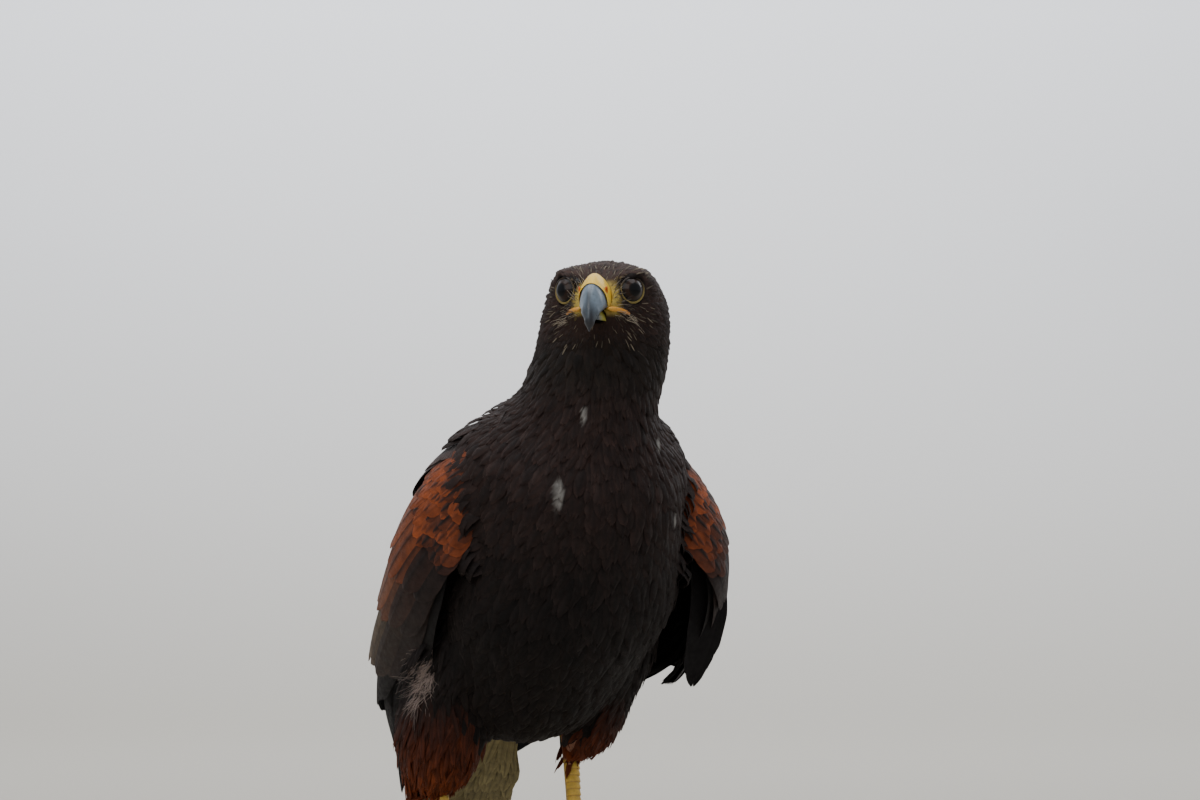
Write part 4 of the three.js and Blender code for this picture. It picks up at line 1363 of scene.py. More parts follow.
    def _grow(self, region: CoatRegion) -> Growth:
        """Roots a region's feathers and finds where each one's middle and end come to lie.

        Args:
            region: The region.

        Returns:
            The feathers that no wing covers and that lie flat enough.
        """
        roots, normals = self._scatter(region)
        ways = self.lie(roots, normals)
        turn = np.radians(self.rng.normal(0.0, region.uneven, len(roots)))[:, None]
        ways = unit(ways * np.cos(turn) + np.cross(normals, ways) * np.sin(turn))
        is_open = self._open(roots, normals)
        roots, normals, ways = roots[is_open], normals[is_open], ways[is_open]
        count = len(roots)
        is_head = HEAD in region.nodes
        off_face = smooth(distance(self.stance.to_head(roots), self.FACE), 8.0, 44.0)
        scale = (0.42 + 0.58 * off_face) if is_head else np.ones(count)
        scale = scale * self.rng.normal(1.0, 0.1, count).clip(0.75, 1.3)
        length = region.length * scale
        half = region.half_width * scale * self.rng.normal(1.0, 0.1, count).clip(0.7, 1.3)
        lift = region.lift * (scale if is_head else 1.0) * self.rng.normal(1.0, 0.25, count).clip(0.4, 1.8)
        mid, mid_out = self._surface(roots + ways * (length * 0.5)[:, None], normals)
        end, end_out = self._surface(mid + (mid - roots), mid_out)
        if region.loose:
            hang = mid * 2 - roots + np.array([0.0, 0.0, -0.12]) * length[:, None]
            end = mix(end, hang, region.loose)
            end_out = unit(mix(end_out, normals, region.loose))
        reach = np.linalg.norm(end - roots, axis=1) / length
        flat = (reach > 0.8) & (reach < 1.25) & (np.sum(mid_out * end_out, axis=1) > 0.5)
        everything = (roots, normals, ways, mid, end, end_out, length, half, lift)
        return Growth(*(values[flat] for values in everything))

    def _form(self, grid: VaneGrid, growth: Growth, across: Array) -> tuple[Array, Array, Array, Array]:
        """Bends the shared grid along each feather.

        Args:
            grid: The grid.
            growth: Where the feathers stand.
            across: How far each corner lies from the shaft, as a share of the half-width.

        Returns:
            The points, their shares along the feather, and each one's ways across and out.
        """
        ragged = self.rng.random((len(growth.roots), grid.columns)) * 0.2
        t = grid.t[None] * (1 - ragged[:, grid.column] * grid.t[None] ** 2)
        stops = (growth.roots, growth.mid, growth.end)
        weights = ((1 - t) * (1 - 2 * t), 4 * t * (1 - t), t * (2 * t - 1))
        spine = sum(stop[:, None] * weight[..., None] for stop, weight in zip(stops, weights))
        out = unit(growth.normals[:, None] * (1 - t)[..., None] + growth.end_out[:, None] * t[..., None])
        side = unit(np.cross(out, growth.ways[:, None]))
        half = growth.half[:, None]
        height = -self.SUNK + (self.SUNK + growth.lift[:, None]) * np.sqrt(t)
        height = height - 0.28 * half * grid.e[None] ** 2 * (0.4 + 0.6 * t)
        height = height + grid.side[None] * self.THICKNESS * 0.5
        points = spine + side * across[None, :, None] * half[..., None] + out * height[..., None]
        return points, t, side, out

    def _fleck(self, share: float, growth: Growth, across: Array, base: Array) -> tuple[Array, Array]:
        """Picks the narrow pale feathers near the bill.

        Args:
            share: How many of the nearest feathers are pale.
            growth: Where the feathers stand.
            across: How far each corner lies from the shaft, as a share of the half-width.
            base: The feathers' colours, which are changed for the pale ones.

        Returns:
            True for each pale feather, and how much narrower each corner comes to lie.
        """
        near = smooth(distance(self.stance.to_head(growth.roots), self.FLECKED), 40.0, 16.0)
        is_pale = self.rng.random(len(base)) < share * near
        base[is_pale] = Shade.FLECK.linear() * self.rng.uniform(0.18, 0.8, (is_pale.sum(), 1))
        narrower = np.where(is_pale, growth.half * 0.72, 0.0)
        return is_pale, across[None, :, None] * narrower[:, None, None]

    def lay(self, region: CoatRegion) -> bpy.types.Object:
        """Makes one region's feathers.

        Args:
            region: The region.

        Returns:
            The object.
        """
        growth = self._grow(region)
        count = len(growth.roots)
        grid = VaneGrid(region.rows, np.linspace(-1, 1, region.columns), 0.25)
        tip = (np.clip(grid.t, 0.5, 1) - 0.5) / 0.53
        profile = np.sqrt(np.clip(1 - tip**2, 0.03, 1)) * (0.4 + 0.6 * smooth(grid.t, 0, 0.4))
        across = grid.e * profile
        points, t, side, out = self._form(grid, growth, across)
        base = region.colour(growth.roots) * self.rng.normal(1.0, 0.16, (count, 1)).clip(0.55, 1.6)
        if region.pale:
            is_pale, narrower = self._fleck(region.pale, growth, across, base)
            points += (out * 0.25) * is_pale[:, None, None] - side * narrower
        rim = smooth(np.abs(grid.e), 0.55, 1.0) * 0.5 + smooth(grid.t, 0.7, 1.0) * 0.5
        shaft = 1 - 0.35 * smooth(np.abs(grid.e), 0.3, 0.0)
        colours = base[:, None] * (shaft * (1 + 0.35 * rim) * (0.72 + 0.28 * grid.t))[None, :, None]
        if region.by_point:
            streak = 0.5 + 0.5 * np.sin(grid.e * 7.0)[None] * self.rng.random((count, 1))
            share = self.marks.mark(points.reshape(-1, 3)).reshape(count, -1) * streak
            colours = mix(colours, np.broadcast_to(Shade.WHITE.linear() * 0.55, colours.shape), share)
        along, beside = growth.length[:, None] * t, across[None] * growth.half[:, None]
        vane = np.stack([along, beside], axis=-1) * VANE_UNIT
        bake = self._unwrap(growth.roots, region)[:, None] + grid.patch()
        made = self.bench.feathers(region.name, Batch(grid, points, colours, vane, bake))
        slot = "rufous_feather" if region.name.startswith("coat_thigh") else "brown_feather"
        self.bench.dress(made, self.finish, slot)
        return made

    def _unwrap(self, roots: Array, region: CoatRegion) -> Array:
        """Unrolls the skin round a region's own axis.

        Args:
            roots: Places on the skin.
            region: The region, whose first node picks the axis.

        Returns:
            A pair from 0 to 1 for each root.
        """
        own = self.stance.to_head(roots) if HEAD in region.nodes else self.stance.to_body(roots)
        middle = (own.min(axis=0) + own.max(axis=0)) / 2
        around = np.arctan2(own[:, 1] - middle[1], own[:, 0] - middle[0]) / (2 * math.pi) + 0.5
        rise = (own[:, 2] - own[:, 2].min()) / max(np.ptp(own[:, 2]), 1.0)
        return 0.02 + 0.96 * np.stack([around, rise], axis=-1)


@dataclass(frozen=True)
class Quill:
    """One feather laid on a sheet."""

    root: tuple[float, float]
    tip: tuple[float, float]
    half_width: float
    layers: tuple[float, float]
    shape: str
    tilt: float = 0.0
    colour: tuple[float, float, float] = (0.02, 0.015, 0.015)
    centre: tuple[float, float, float] | None = None
    lead: float = 0.0


SHAPES = {
    "flight": ((0, 0.3, 0.65, 0.88, 0.96, 1), (0.5, 0.9, 1.0, 0.8, 0.5, 0.12)),
    "tail": ((0, 0.2, 0.5, 0.85, 0.95, 1), (0.3, 0.5, 0.85, 1.0, 0.8, 0.35)),
    "covert": ((0, 0.3, 0.65, 0.85, 0.95, 1), (0.7, 0.95, 1.0, 0.85, 0.55, 0.15)),
    "plume": ((0, 0.3, 0.65, 0.85, 0.95, 1), (0.4, 0.8, 1.0, 0.75, 0.45, 0.1)),
}


class SheetFeathers:
    """Lays quills on a sheet as one batch."""

    THICKNESS = 0.5
    SHAFT = 0.32
    LONG = (26, (-1, -0.86, -0.66, -0.44, -0.22, -0.07, 0, 0.07, 0.22, 0.44, 0.66, 0.86, 1), 0.35)
    SHORT = (11, (-1, -0.7, -0.36, -0.08, 0, 0.08, 0.36, 0.7, 1), 0.3)

    def __init__(self, sheet: Sheet, seed: int, fine: bool = True) -> None:
        """Keeps the sheet and picks a grid.

        Args:
            sheet: What the feathers lie on.
            seed: Seed of the small differences.
            fine: True for long feathers, which need more rows and columns.
        """
        self.sheet = sheet
        self.rng = np.random.default_rng(seed)
        self.grid = VaneGrid(*(self.LONG if fine else self.SHORT))

    def lay(self, quills: Sequence[Quill], paint: Callable | None = None) -> Batch:
        """Builds the feathers.

        Args:
            quills: The feathers.
            paint: Gives colours from each quill's base, t and e, where the plain ones aren't enough.

        Returns:
            The batch.
        """
        g = self.grid
        count = len(quills)
        root = np.array([q.root for q in quills])
        tip = np.array([q.tip for q in quills])
        half = np.array([q.half_width for q in quills])[:, None]
        layers = np.array([q.layers for q in quills])
        ragged = self.rng.random((count, g.columns)) * 0.02
        t = g.t[None] * (1 - ragged[:, g.column] * g.t[None] ** 3)
        at, width = SHAPES[quills[0].shape]
        profile = np.interp(g.t, at, width)[None]
        lead = np.array([q.lead for q in quills])[:, None]
        across = g.e[None] * np.where(g.e[None] < 0, 1 - lead, 1 + lead)
        wave = 1 + 0.03 * np.sin(g.t[None] * 9 + self.rng.random((count, 1)) * 6)
        s = root[:, :1] + (tip[:, :1] - root[:, :1]) * t
        v0 = root[:, 1:] + (tip[:, 1:] - root[:, 1:]) * t
        v = v0 + across * half * profile * wave / self.sheet.breadth(s, v0)
        tilt = np.array([q.tilt for q in quills])[:, None]
        height = layers[:, :1] + (layers[:, 1:] - layers[:, :1]) * t
        shaft = self.SHAFT * smooth(np.abs(g.e), 0.1, 0.0) * (1 - 0.7 * g.t) * (g.side > 0)
        thin = self.THICKNESS * (1 - 0.5 * g.t) * 0.5 * g.side * (1 - 0.5 * np.abs(g.e))
        curve = -0.035 * half * g.e[None] ** 2
        height = height - tilt * g.e[None] * half + (shaft + thin)[None] + curve
        points = self.sheet.at(s, v, height)
        base = np.array([q.colour for q in quills]) * self.rng.normal(1.0, 0.1, (count, 1)).clip(0.7, 1.35)
        centre = np.array([q.centre or q.colour for q in quills])
        if paint:
            colours = paint(base, g.t, g.e)
        else:
            streak = smooth(np.abs(g.e), 0.34, 0.08)[None] * smooth(g.t, 0.05, 0.4)[None]
            fade = 1 + 0.25 * smooth(np.abs(g.e), 0.75, 1.0) + 0.2 * smooth(g.t, 0.85, 1.0)
            colours = mix(np.repeat(base[:, None], g.size, 1), np.repeat(centre[:, None], g.size, 1), streak)
            colours = colours * fade[None, :, None]
        root_at, tip_at = (self.sheet.place(np.clip(p[:, 0], 0, 1), p[:, 1]) for p in (root, tip))
        run = np.linalg.norm(tip_at - root_at, axis=-1)[:, None]
        vane = np.stack([run * t, across * half * profile], axis=-1) * VANE_UNIT
        return Batch(g, points, np.broadcast_to(colours, points.shape), vane)


LONG_VANES = {
    "barbs_per_mm": 1.5,
    "barb_shade": 0.2,
    "mottle": 0.2,
    "roughness": 0.6,
    "sheen": 0.01,
    "gloss": 0.12,
}
WING_RAILS = {
    1: {
        "upper": ((38, -50, 250), (38, -16, 240), (18, 42, 196), (15, 94, 142), (23, 142, 95), (31, 186, 52)),
        "middle": (
            (54, -62, 230),
            (88, -38, 204),
            (96, 16, 156),
            (82, 68, 112),
            (58, 124, 78),
            (38, 192, 44),
        ),
        "lower": ((50, -64, 202), (86, -58, 160), (92, -16, 114), (78, 36, 92), (62, 100, 62), (42, 188, 36)),
    },
    -1: {
        "upper": ((-38, -50, 254), (-38, -16, 243), (-10, 42, 196), (4, 94, 142), (8, 144, 95), (6, 186, 52)),
        "middle": (
            *((-54, -62, 232), (-79, -34, 206), (-74, 22, 160)),
            *((-57, 76, 114), (-28, 132, 76), (-4, 190, 44)),
        ),
        "lower": (
            *((-50, -64, 204), (-70, -56, 166), (-68, -6, 122)),
            *((-54, 58, 84), (-30, 124, 56), (-8, 184, 36)),
        ),
    },
}


@dataclass
class Wing:
    """One folded wing: a core, flight feathers in a stack, rows of coverts and the scapulars over its top."""

    stance: Stance
    bench: Bench
    side: int
    primaries: int = 8
    secondaries: int = 11
    flight_top: float = -6.9
    flight_drop: float = 0.42
    covert_counts: tuple[int, int] = (10, 11)
    sheet: Sheet = field(init=False)

    def __post_init__(self) -> None:
        """Makes the wing's sheet from its three rails."""
        rails = {k: Rail(self.stance.body_point(p)) for k, p in WING_RAILS[self.side].items()}

        def place(s: Array, v: Array) -> Array:
            """Bends across the three rails."""
            w = v[..., None]
            return (
                rails["middle"].at(s) * (1 - w * w)
                + rails["upper"].at(s) * (w * (w + 1) / 2)
                + rails["lower"].at(s) * (w * (w - 1) / 2)
            )

        self.sheet = Sheet(place, self.side)

    @property
    def hand(self) -> str:
        """Returns left or right."""
        return SIDES[self.side]

    def shadow(self, s: float, v: float) -> float:
        """Finds how dark the wing is by place: its lower edge is dark from a little below the shoulder.

        Args:
            s: Share from shoulder to tip.
            v: Share across.

        Returns:
            A share.
        """
        from_edge = smooth(v, 0.05, -0.55) if self.side > 0 else smooth(v, -0.4, -0.8)
        return float(from_edge * smooth(s, -0.01, 0.12))

    def _bed(self, rows: Sequence[tuple[float, float, float]], low: float, high: float) -> tuple[Array, list]:
        """Builds a plate over the sheet.

        Args:
            rows: For each s, the outer and the inner layer.
            low: Lowest v.
            high: Highest v.

        Returns:
            The plate's points and faces.
        """
        table = np.array(rows)
        s = np.linspace(table[0, 0], table[-1, 0], 22)
        v = np.linspace(low, high, 19)
        ss, vv = np.meshgrid(s, v, indexing="ij")
        faces = [np.broadcast_to(np.interp(s, table[:, 0], table[:, k])[:, None], ss.shape) for k in (1, 2)]
        return plate(self.sheet.at(ss, vv, faces[0]), self.sheet.at(ss, vv, faces[1]))

    def core(self) -> None:
        """Makes the wing's arm, which the coverts and flight feathers grow from."""
        shoulder = ((-0.01, -3, -10), (0.05, 0, -8), (0.2, -1.8, -8))
        beyond = ((0.3, -4.4, -9), (0.37, -9, -14), (0.62, -14.6, -15.6))
        points, faces = self._bed(shoulder + beyond, -0.86, 0.9)
        made = self.bench.mesh(f"wing_{self.hand}_arm", points, faces, Shade.BLACK.linear())
        self.bench.dress(made, SkinFinish(f"wing_arm_{self.hand}").material(), "rufous_feather")

    def flight(self) -> None:
        """Makes primaries and secondaries, each clear of the next."""
        total = self.primaries + self.secondaries
        half_width, rise = 10.5, 1.6
        rng = np.random.default_rng(70 + self.side)
        roots = ((-0.74, -0.3, 0.1), (-0.8, -0.1, 0.74))
        ends = ((0.85, 0.96, 0.985, 0.92, 0.86), (0.58, 0.68, 0.75))
        tips = ((-0.5, -0.02, 0.4), (-0.66, 0.0, 0.72))
        rows = (
            (self.primaries, total, 0.38, 0.006, 0.25, Shade.BLACK),
            (self.secondaries, self.secondaries, 0.34, 0.008, 0.2, Shade.FLIGHT),
        )
        quills = []
        for (count, under, start, uneven, lead, shade), root, end, tip in zip(rows, roots, ends, tips):
            for i in range(count):
                share = i / (count - 1)
                height = self.flight_top - self.flight_drop * (under - i)
                quills.append(
                    Quill(
                        (start, float(ease(root, share))),
                        (float(ease(end, share)) + uneven * rng.normal(), float(ease(tip, share))),
                        half_width,
                        (height, height + rise),
                        "flight",
                        colour=tuple(shade.linear()),
                        lead=lead,
                    )
                )
        batch = SheetFeathers(self.sheet, 80 + self.side).lay(quills)
        made = self.bench.feathers(f"wing_{self.hand}_quills", batch)
        finish = PlumageFinish(f"flight_{self.hand}", **LONG_VANES).material()
        self.bench.dress(made, finish, "black_feather", f"wing_{self.hand}_flight")

    def coverts(self) -> None:
        """Makes the greater, median and lesser coverts."""
        rng = np.random.default_rng(90 + self.side)
        large = self._large_coverts(rng)
        batch = SheetFeathers(self.sheet, 100 + self.side).lay(large)
        made = self.bench.feathers(f"wing_{self.hand}_large_coverts", batch)
        finish = PlumageFinish(
            f"coverts_{self.hand}",
            barbs_per_mm=1.8,
            barb_shade=0.24,
            mottle=0.34,
            roughness=0.64,
            sheen=0.05,
            gloss=0.2,
        ).material()
        self.bench.dress(made, finish, "brown_feather", f"wing_{self.hand}_coverts")
        small = self._small_coverts(rng)
        layer = SheetFeathers(self.sheet, 110 + self.side, fine=False)
        batch = layer.lay(small)
        spots = np.array([[0.5 + q.root[0] * 0.9, 0.5 + q.root[1] * 0.45] for q in small])
        batch.bake = spots[:, None] + layer.grid.patch()
        made = self.bench.feathers(f"wing_{self.hand}_small_coverts", batch)
        self.bench.dress(made, finish, "rufous_feather")

    def _large_coverts(self, rng: np.random.Generator) -> list[Quill]:
        """Lists the greater and median coverts, and the black ones that hang over the lower edge.

        Args:
            rng: Where the small differences come from.

        Returns:
            The feathers.
        """
        brown, rufous = Shade.COVERT_BROWN.linear(), Shade.RUFOUS.linear()
        shaded, dark = Shade.CHOCOLATE.linear() * 0.7, Shade.BELLY.linear()
        greater_count, median_count = self.covert_counts
        rows = (
            (greater_count, 0.27, 0.46, 0.055, -4.4, 104.0, brown, 0.2),
            (median_count, 0.19, 0.345, 0.045, -2.6, 100.0, mix(brown, rufous, 0.45), 0.5),
            (median_count + 1, 0.125, 0.26, 0.035, -1.2, 100.0, mix(brown, rufous, 0.8), 0.8),
        )
        quills: list[Quill] = []
        for count, start, stop, reach, layer, span, tone, streak in rows:
            for i in range(count):
                share = i / (count - 1)
                v = -0.9 + 1.8 * share
                height = layer + (0.25 if i % 2 else 0.0)
                base = mix(tone * (1 + 0.1 * rng.normal()), shaded, self.shadow(start, v))
                bow = reach * (1 - (2 * share - 1) ** 2)
                quills.append(
                    Quill(
                        (start - 0.03, v),
                        (stop + bow + 0.01 * rng.normal(), v * 0.98 - 0.01),
                        span / count * (1 + 0.05 * rng.normal()),
                        (height - 0.4, height + 0.5),
                        "covert",
                        0.03,
                        tuple(base),
                        tuple(mix(base, dark, streak * rng.uniform(0.6, 1.0))),
                    )
                )
        black = tuple(Shade.BLACK.linear())
        for k in range(5):
            share = k / 4
            root = (0.16 + 0.05 * share, -0.9 + 0.12 * share)
            tip = (0.42 + 0.05 * share, -1.09 + 0.09 * share)
            quills.append(Quill(root, tip, 9.5, (-5.0 - 0.7 * k, -5.6 - 0.5 * k), "covert", 0.02, black))
        return quills

    def _small_coverts(self, rng: np.random.Generator) -> list[Quill]:
        """Lists the lesser coverts, rufous with dark centres and darker towards the shoulder's top.

        Args:
            rng: Where the small differences come from.

        Returns:
            The feathers.
        """
        count, half_width = 15, 6.4
        rufous, brown, dark = (s.linear() for s in (Shade.RUFOUS, Shade.CHOCOLATE, Shade.BELLY))
        quills: list[Quill] = []
        for row, start in enumerate(np.linspace(0.085, -0.02, 8)):
            for i in range(count):
                v = -0.94 + 1.86 * (i + 0.5 * (row % 2)) / (count - 0.5)
                reach = 0.095 + 0.012 * rng.normal()
                height = -0.1 + 0.12 * row
                tone = rufous * (1 + 0.14 * rng.normal())
                tone = mix(tone, brown * 0.7, self.shadow(start, v))
                tone = mix(tone, brown, float(smooth(v - 3 * min(start, 0.06), 0.2, 0.6)))
                is_dark = rng.random() < 0.3
                quills.append(
                    Quill(
                        (start - 0.015, v),
                        (start + reach, v - 0.02),
                        half_width * (1 + 0.1 * rng.normal()),
                        (height - 0.9, height + 0.5 + 0.3 * rng.random()),
                        "covert",
                        0.02,
                        tuple(mix(tone, dark, 0.55 if is_dark else 0.0)),
                        tuple(mix(tone, dark, 0.97 if is_dark else rng.uniform(0.2, 0.8))),
                    )
                )
        return quills

    def hanging(self) -> None:
        """Makes the black quills that hang clear of the left wing's lower edge."""
        line = Rail([(97, -17, 190), (101, -10, 152), (94.5, 2, 111)])
        across = unit(np.array([0.86, 0.5, 0.05])) * 11.0

        def place(s: Array, v: Array) -> Array:
            """Lays a flat strip along the line."""
            return line.at(s) + across * v[..., None]

        half_width = 8.5
        black = tuple(Shade.BLACK.linear())
        spots = ((0.5, 0.86, 0.0), (0.2, 0.95, -0.8), (-0.1, 1.0, -1.6), (-0.35, 0.95, -2.4))
        quills = [
            Quill((0, v * 0.6), (tip, v), half_width, (layer - 1.5, layer), "flight", colour=black)
            for v, tip, layer in spots
        ]
        made = self.bench.feathers("wing_left_loose_quills", SheetFeathers(Sheet(place, -1), 137).lay(quills))
        finish = PlumageFinish("loose_quills", **LONG_VANES).material()
        self.bench.dress(made, finish, "black_feather")

    def scapulars(self) -> None:
        """Makes the shoulder feathers over the wing's upper edge."""
        rng = np.random.default_rng(120 + self.side)
        base = Shade.CHOCOLATE.linear()
        quills: list[Quill] = []
        count, half_width = 7, 9.5
        rows = ((0.24, 0.42, 1.2), (0.17, 0.35, 2.0), (0.1, 0.28, 2.6), (0.04, 0.21, 2.6), (-0.03, 0.14, 1.8))
        for row, (start, stop, layer) in enumerate(rows):
            for i in range(count):
                share = (i + 0.5 * (row % 2)) / (count - 0.5)
                v = 0.5 + 0.72 * share
                quills.append(
                    Quill(
                        (start - 0.02, v),
                        (stop + 0.04 * math.sin(math.pi * share) + 0.012 * rng.normal(), v * 0.97),
                        half_width * (1 + 0.06 * rng.normal()),
                        (layer - 1.6 - 0.5 * row, layer + 0.4),
                        "covert",
                        0.03,
                        tuple(base * (1.25 + 0.2 * rng.normal())),
                        tuple(Shade.BELLY.linear()),
                    )
                )
        batch = SheetFeathers(self.sheet, 130 + self.side).lay(quills)
        made = self.bench.feathers(f"scapulars_{self.hand}_feathers", batch)
        finish = PlumageFinish(
            f"scapulars_{self.hand}",
            barbs_per_mm=1.8,
            barb_shade=0.24,
            mottle=0.3,
            roughness=0.62,
            sheen=0.04,
            gloss=0.2,
        ).material()
        self.bench.dress(made, finish, "brown_feather", f"scapulars_{self.hand}")

    def build(self) -> None:
        """Builds the wing from the inside out."""
        self.core()
        self.flight()
        self.coverts()
        self.scapulars()
        if self.side > 0:
            self.hanging()


@dataclass
class Tail:
    """The tail's twelve feathers with the coverts over and under their roots."""

    stance: Stance
    bench: Bench
    root: tuple[float, float, float] = (7, 46, 101)
    length: float = 222.0
    turn: float = 8.0
    pitches: tuple[float, ...] = (34, 30, 22, 15)
    tip_height: float = 5.0
    pairs: int = 6
    top: float = 3.0
    stack: float = 0.8
    half_widths: tuple[float, ...] = (17, 24, 31, 37)
    sheet: Sheet = field(init=False)

    def __post_init__(self) -> None:
        """Makes the tail's sheet from its middle line."""
        swing = math.radians(self.turn)
        line = Rail(self._middle())

        def place(s: Array, v: Array) -> Array:
            """Widens and arches the sheet about the middle line."""
            m = line.at(s)
            out = ease(self.half_widths, s) * v
            roof = 5 * (1 - s) + 1.5
            x, y = m[..., 0] + out * math.cos(swing), m[..., 1] - out * math.sin(swing)
            return self.stance.body_point(np.stack([x, y, m[..., 2] - roof * v * v], axis=-1))

        self.sheet = Sheet(place, -1)

    def _middle(self) -> list[Array]:
        """Returns the middle line's points, from the rump to the floor."""
        step = self.length / (len(self.pitches) - 1)
        swing = math.radians(self.turn)
        drops = [step * math.sin(math.radians(p)) for p in self.pitches[:-1]]
        points = [np.array(self.root, float)]
        for pitch in self.pitches[:-1]:
            back = step * math.cos(math.radians(pitch))
            drop = step * math.sin(math.radians(pitch))
            points.append(points[-1] + np.array([back * math.sin(swing), back * math.cos(swing), -drop]))
        short = points[-1][2] - self.tip_height
        run = np.concatenate([[0.0], np.cumsum(drops)]) / sum(drops)
        return [p - np.array([0.0, 0.0, short * r]) for p, r in zip(points, run)]

    def _layer(self, pair: int, side: int) -> float:
        """Returns the height of one tail feather, with the middle pair on top."""
        drop = 2 * pair + (0 if side > 0 else 1) if pair < 2 else pair + 2
        return self.top - self.stack * drop

    def vanes(self) -> None:
        """Makes the tail feathers: white at the base, black, and white again at the end."""
        half_width = 12.0
        quills = []
        for pair in range(self.pairs):
            share = pair / (self.pairs - 1)
            for side in SIDES:
                v = side * (0.1 + 0.72 * share)
                height = self._layer(pair, side)
                tip = (1 - 0.03 * share, v)
                quills.append(Quill((0.08, v * 0.7), tip, half_width, (height, height), "tail"))
        black, white = Shade.BLACK.linear(), Shade.WHITE.linear()

        def paint(base: Array, t: Array, e: Array) -> Array:
            """Bands each feather along its length."""
            ragged = 0.012 * np.sin(e * 5.0)
            share = smooth(t + ragged, 0.36, 0.44) * smooth(t + ragged, 0.925, 0.905)
            return np.repeat(mix(white, black, share)[None], len(base), axis=0)

        batch = SheetFeathers(self.sheet, 140).lay(quills, paint)
        made = self.bench.feathers("tail_vanes", batch)
        finish = PlumageFinish("tail_vane", **{**LONG_VANES, "mottle": 0.15, "gloss": 0.14}).material()
        self.bench.dress(made, finish, "black_feather", "tail")

    def _cover(
        self, name: str, node: str, rows: Sequence[tuple], tone: Array, half: float, span: tuple, seed: int
    ) -> None:
        """Makes rows of short feathers at the tail's root.

        Args:
            name: The piece's name.
            node: The solid that it replaces.
            rows: For each row, its start, its end, its layer and its count.
            tone: The feathers' colour.
            half: Half of a feather's width.
            span: How far the rows reach across, to either side.
            seed: Seed of the small differences.
        """
        rng = np.random.default_rng(seed)
        quills = []
        for start, stop, layer, count in rows:
            for i in range(count):
                share = i / (count - 1)
                v = float(mix(span[0], span[1], share))
                bow = 0.06 * (1 - (2 * share - 1) ** 2)
                quills.append(
                    Quill(
                        (start, v * 0.85),
                        (stop + bow + 0.015 * rng.normal(), v + 0.03 * rng.normal()),
                        half * (1 + 0.1 * rng.normal()),
                        (layer - 0.6, layer + 0.32 * rng.normal()),
                        "plume",
                        colour=tuple(tone * (1 + 0.06 * rng.normal())),
                        centre=tuple(tone * rng.uniform(0.5, 0.85)),
                    )
                )
        made = self.bench.feathers(name, SheetFeathers(self.sheet, seed + 1).lay(quills))
        finish = PlumageFinish(
            name,
            barbs_per_mm=0.9,
            barb_shade=0.3,
            mottle=0.2,
            roughness=0.75,
            sheen=0.1,
            gloss=0.15,
        ).material()
        self.bench.dress(made, finish, "white_feather", node)

    def coverts(self) -> None:
        """Makes the white coverts above the root and the cream ones below it, painted darker and warmer as
        painted shade under the tail.
        """
        upper = [(-0.1 + 0.06 * k, 0.07 + 0.06 * k, 8.0 - 1.1 * k, 6) for k in range(5)][::-1]
        lower = [(-0.12 + 0.066 * k, 0.16 + 0.07 * k, -13.0 + 1.35 * k, 12) for k in range(8)][::-1]
        # The cream under the root is painted dark and warm: painted shade beneath the tail, on the plumes and
        # on the root plate.
        shaded = Shade.CREAM.linear() * np.array([0.44, 0.39, 0.26])
        white = Shade.WHITE.linear() * 0.85
        self._cover("uppertail_plumes", "uppertail_coverts", upper, white, 8.0, (-0.66, 0.66), 150)
        self._cover("undertail_plumes", "undertail_coverts", lower, shaded, 4.3, (-0.66, 1.15), 160)
        s, v = np.meshgrid(np.linspace(-0.1, 0.24, 12), np.linspace(-0.78, 0.78, 11), indexing="ij")
        root = plate(self.sheet.at(s, v, np.full_like(s, 3.6)), self.sheet.at(s, v, 12 * s - 9.0))
        made = self.bench.mesh("tail_root", *root, shaded)
        self.bench.dress(made, SkinFinish("tail_root_down").material(), "white_feather")

    def build(self) -> None:
        """Builds vanes and coverts."""
        self.vanes()
        self.coverts()


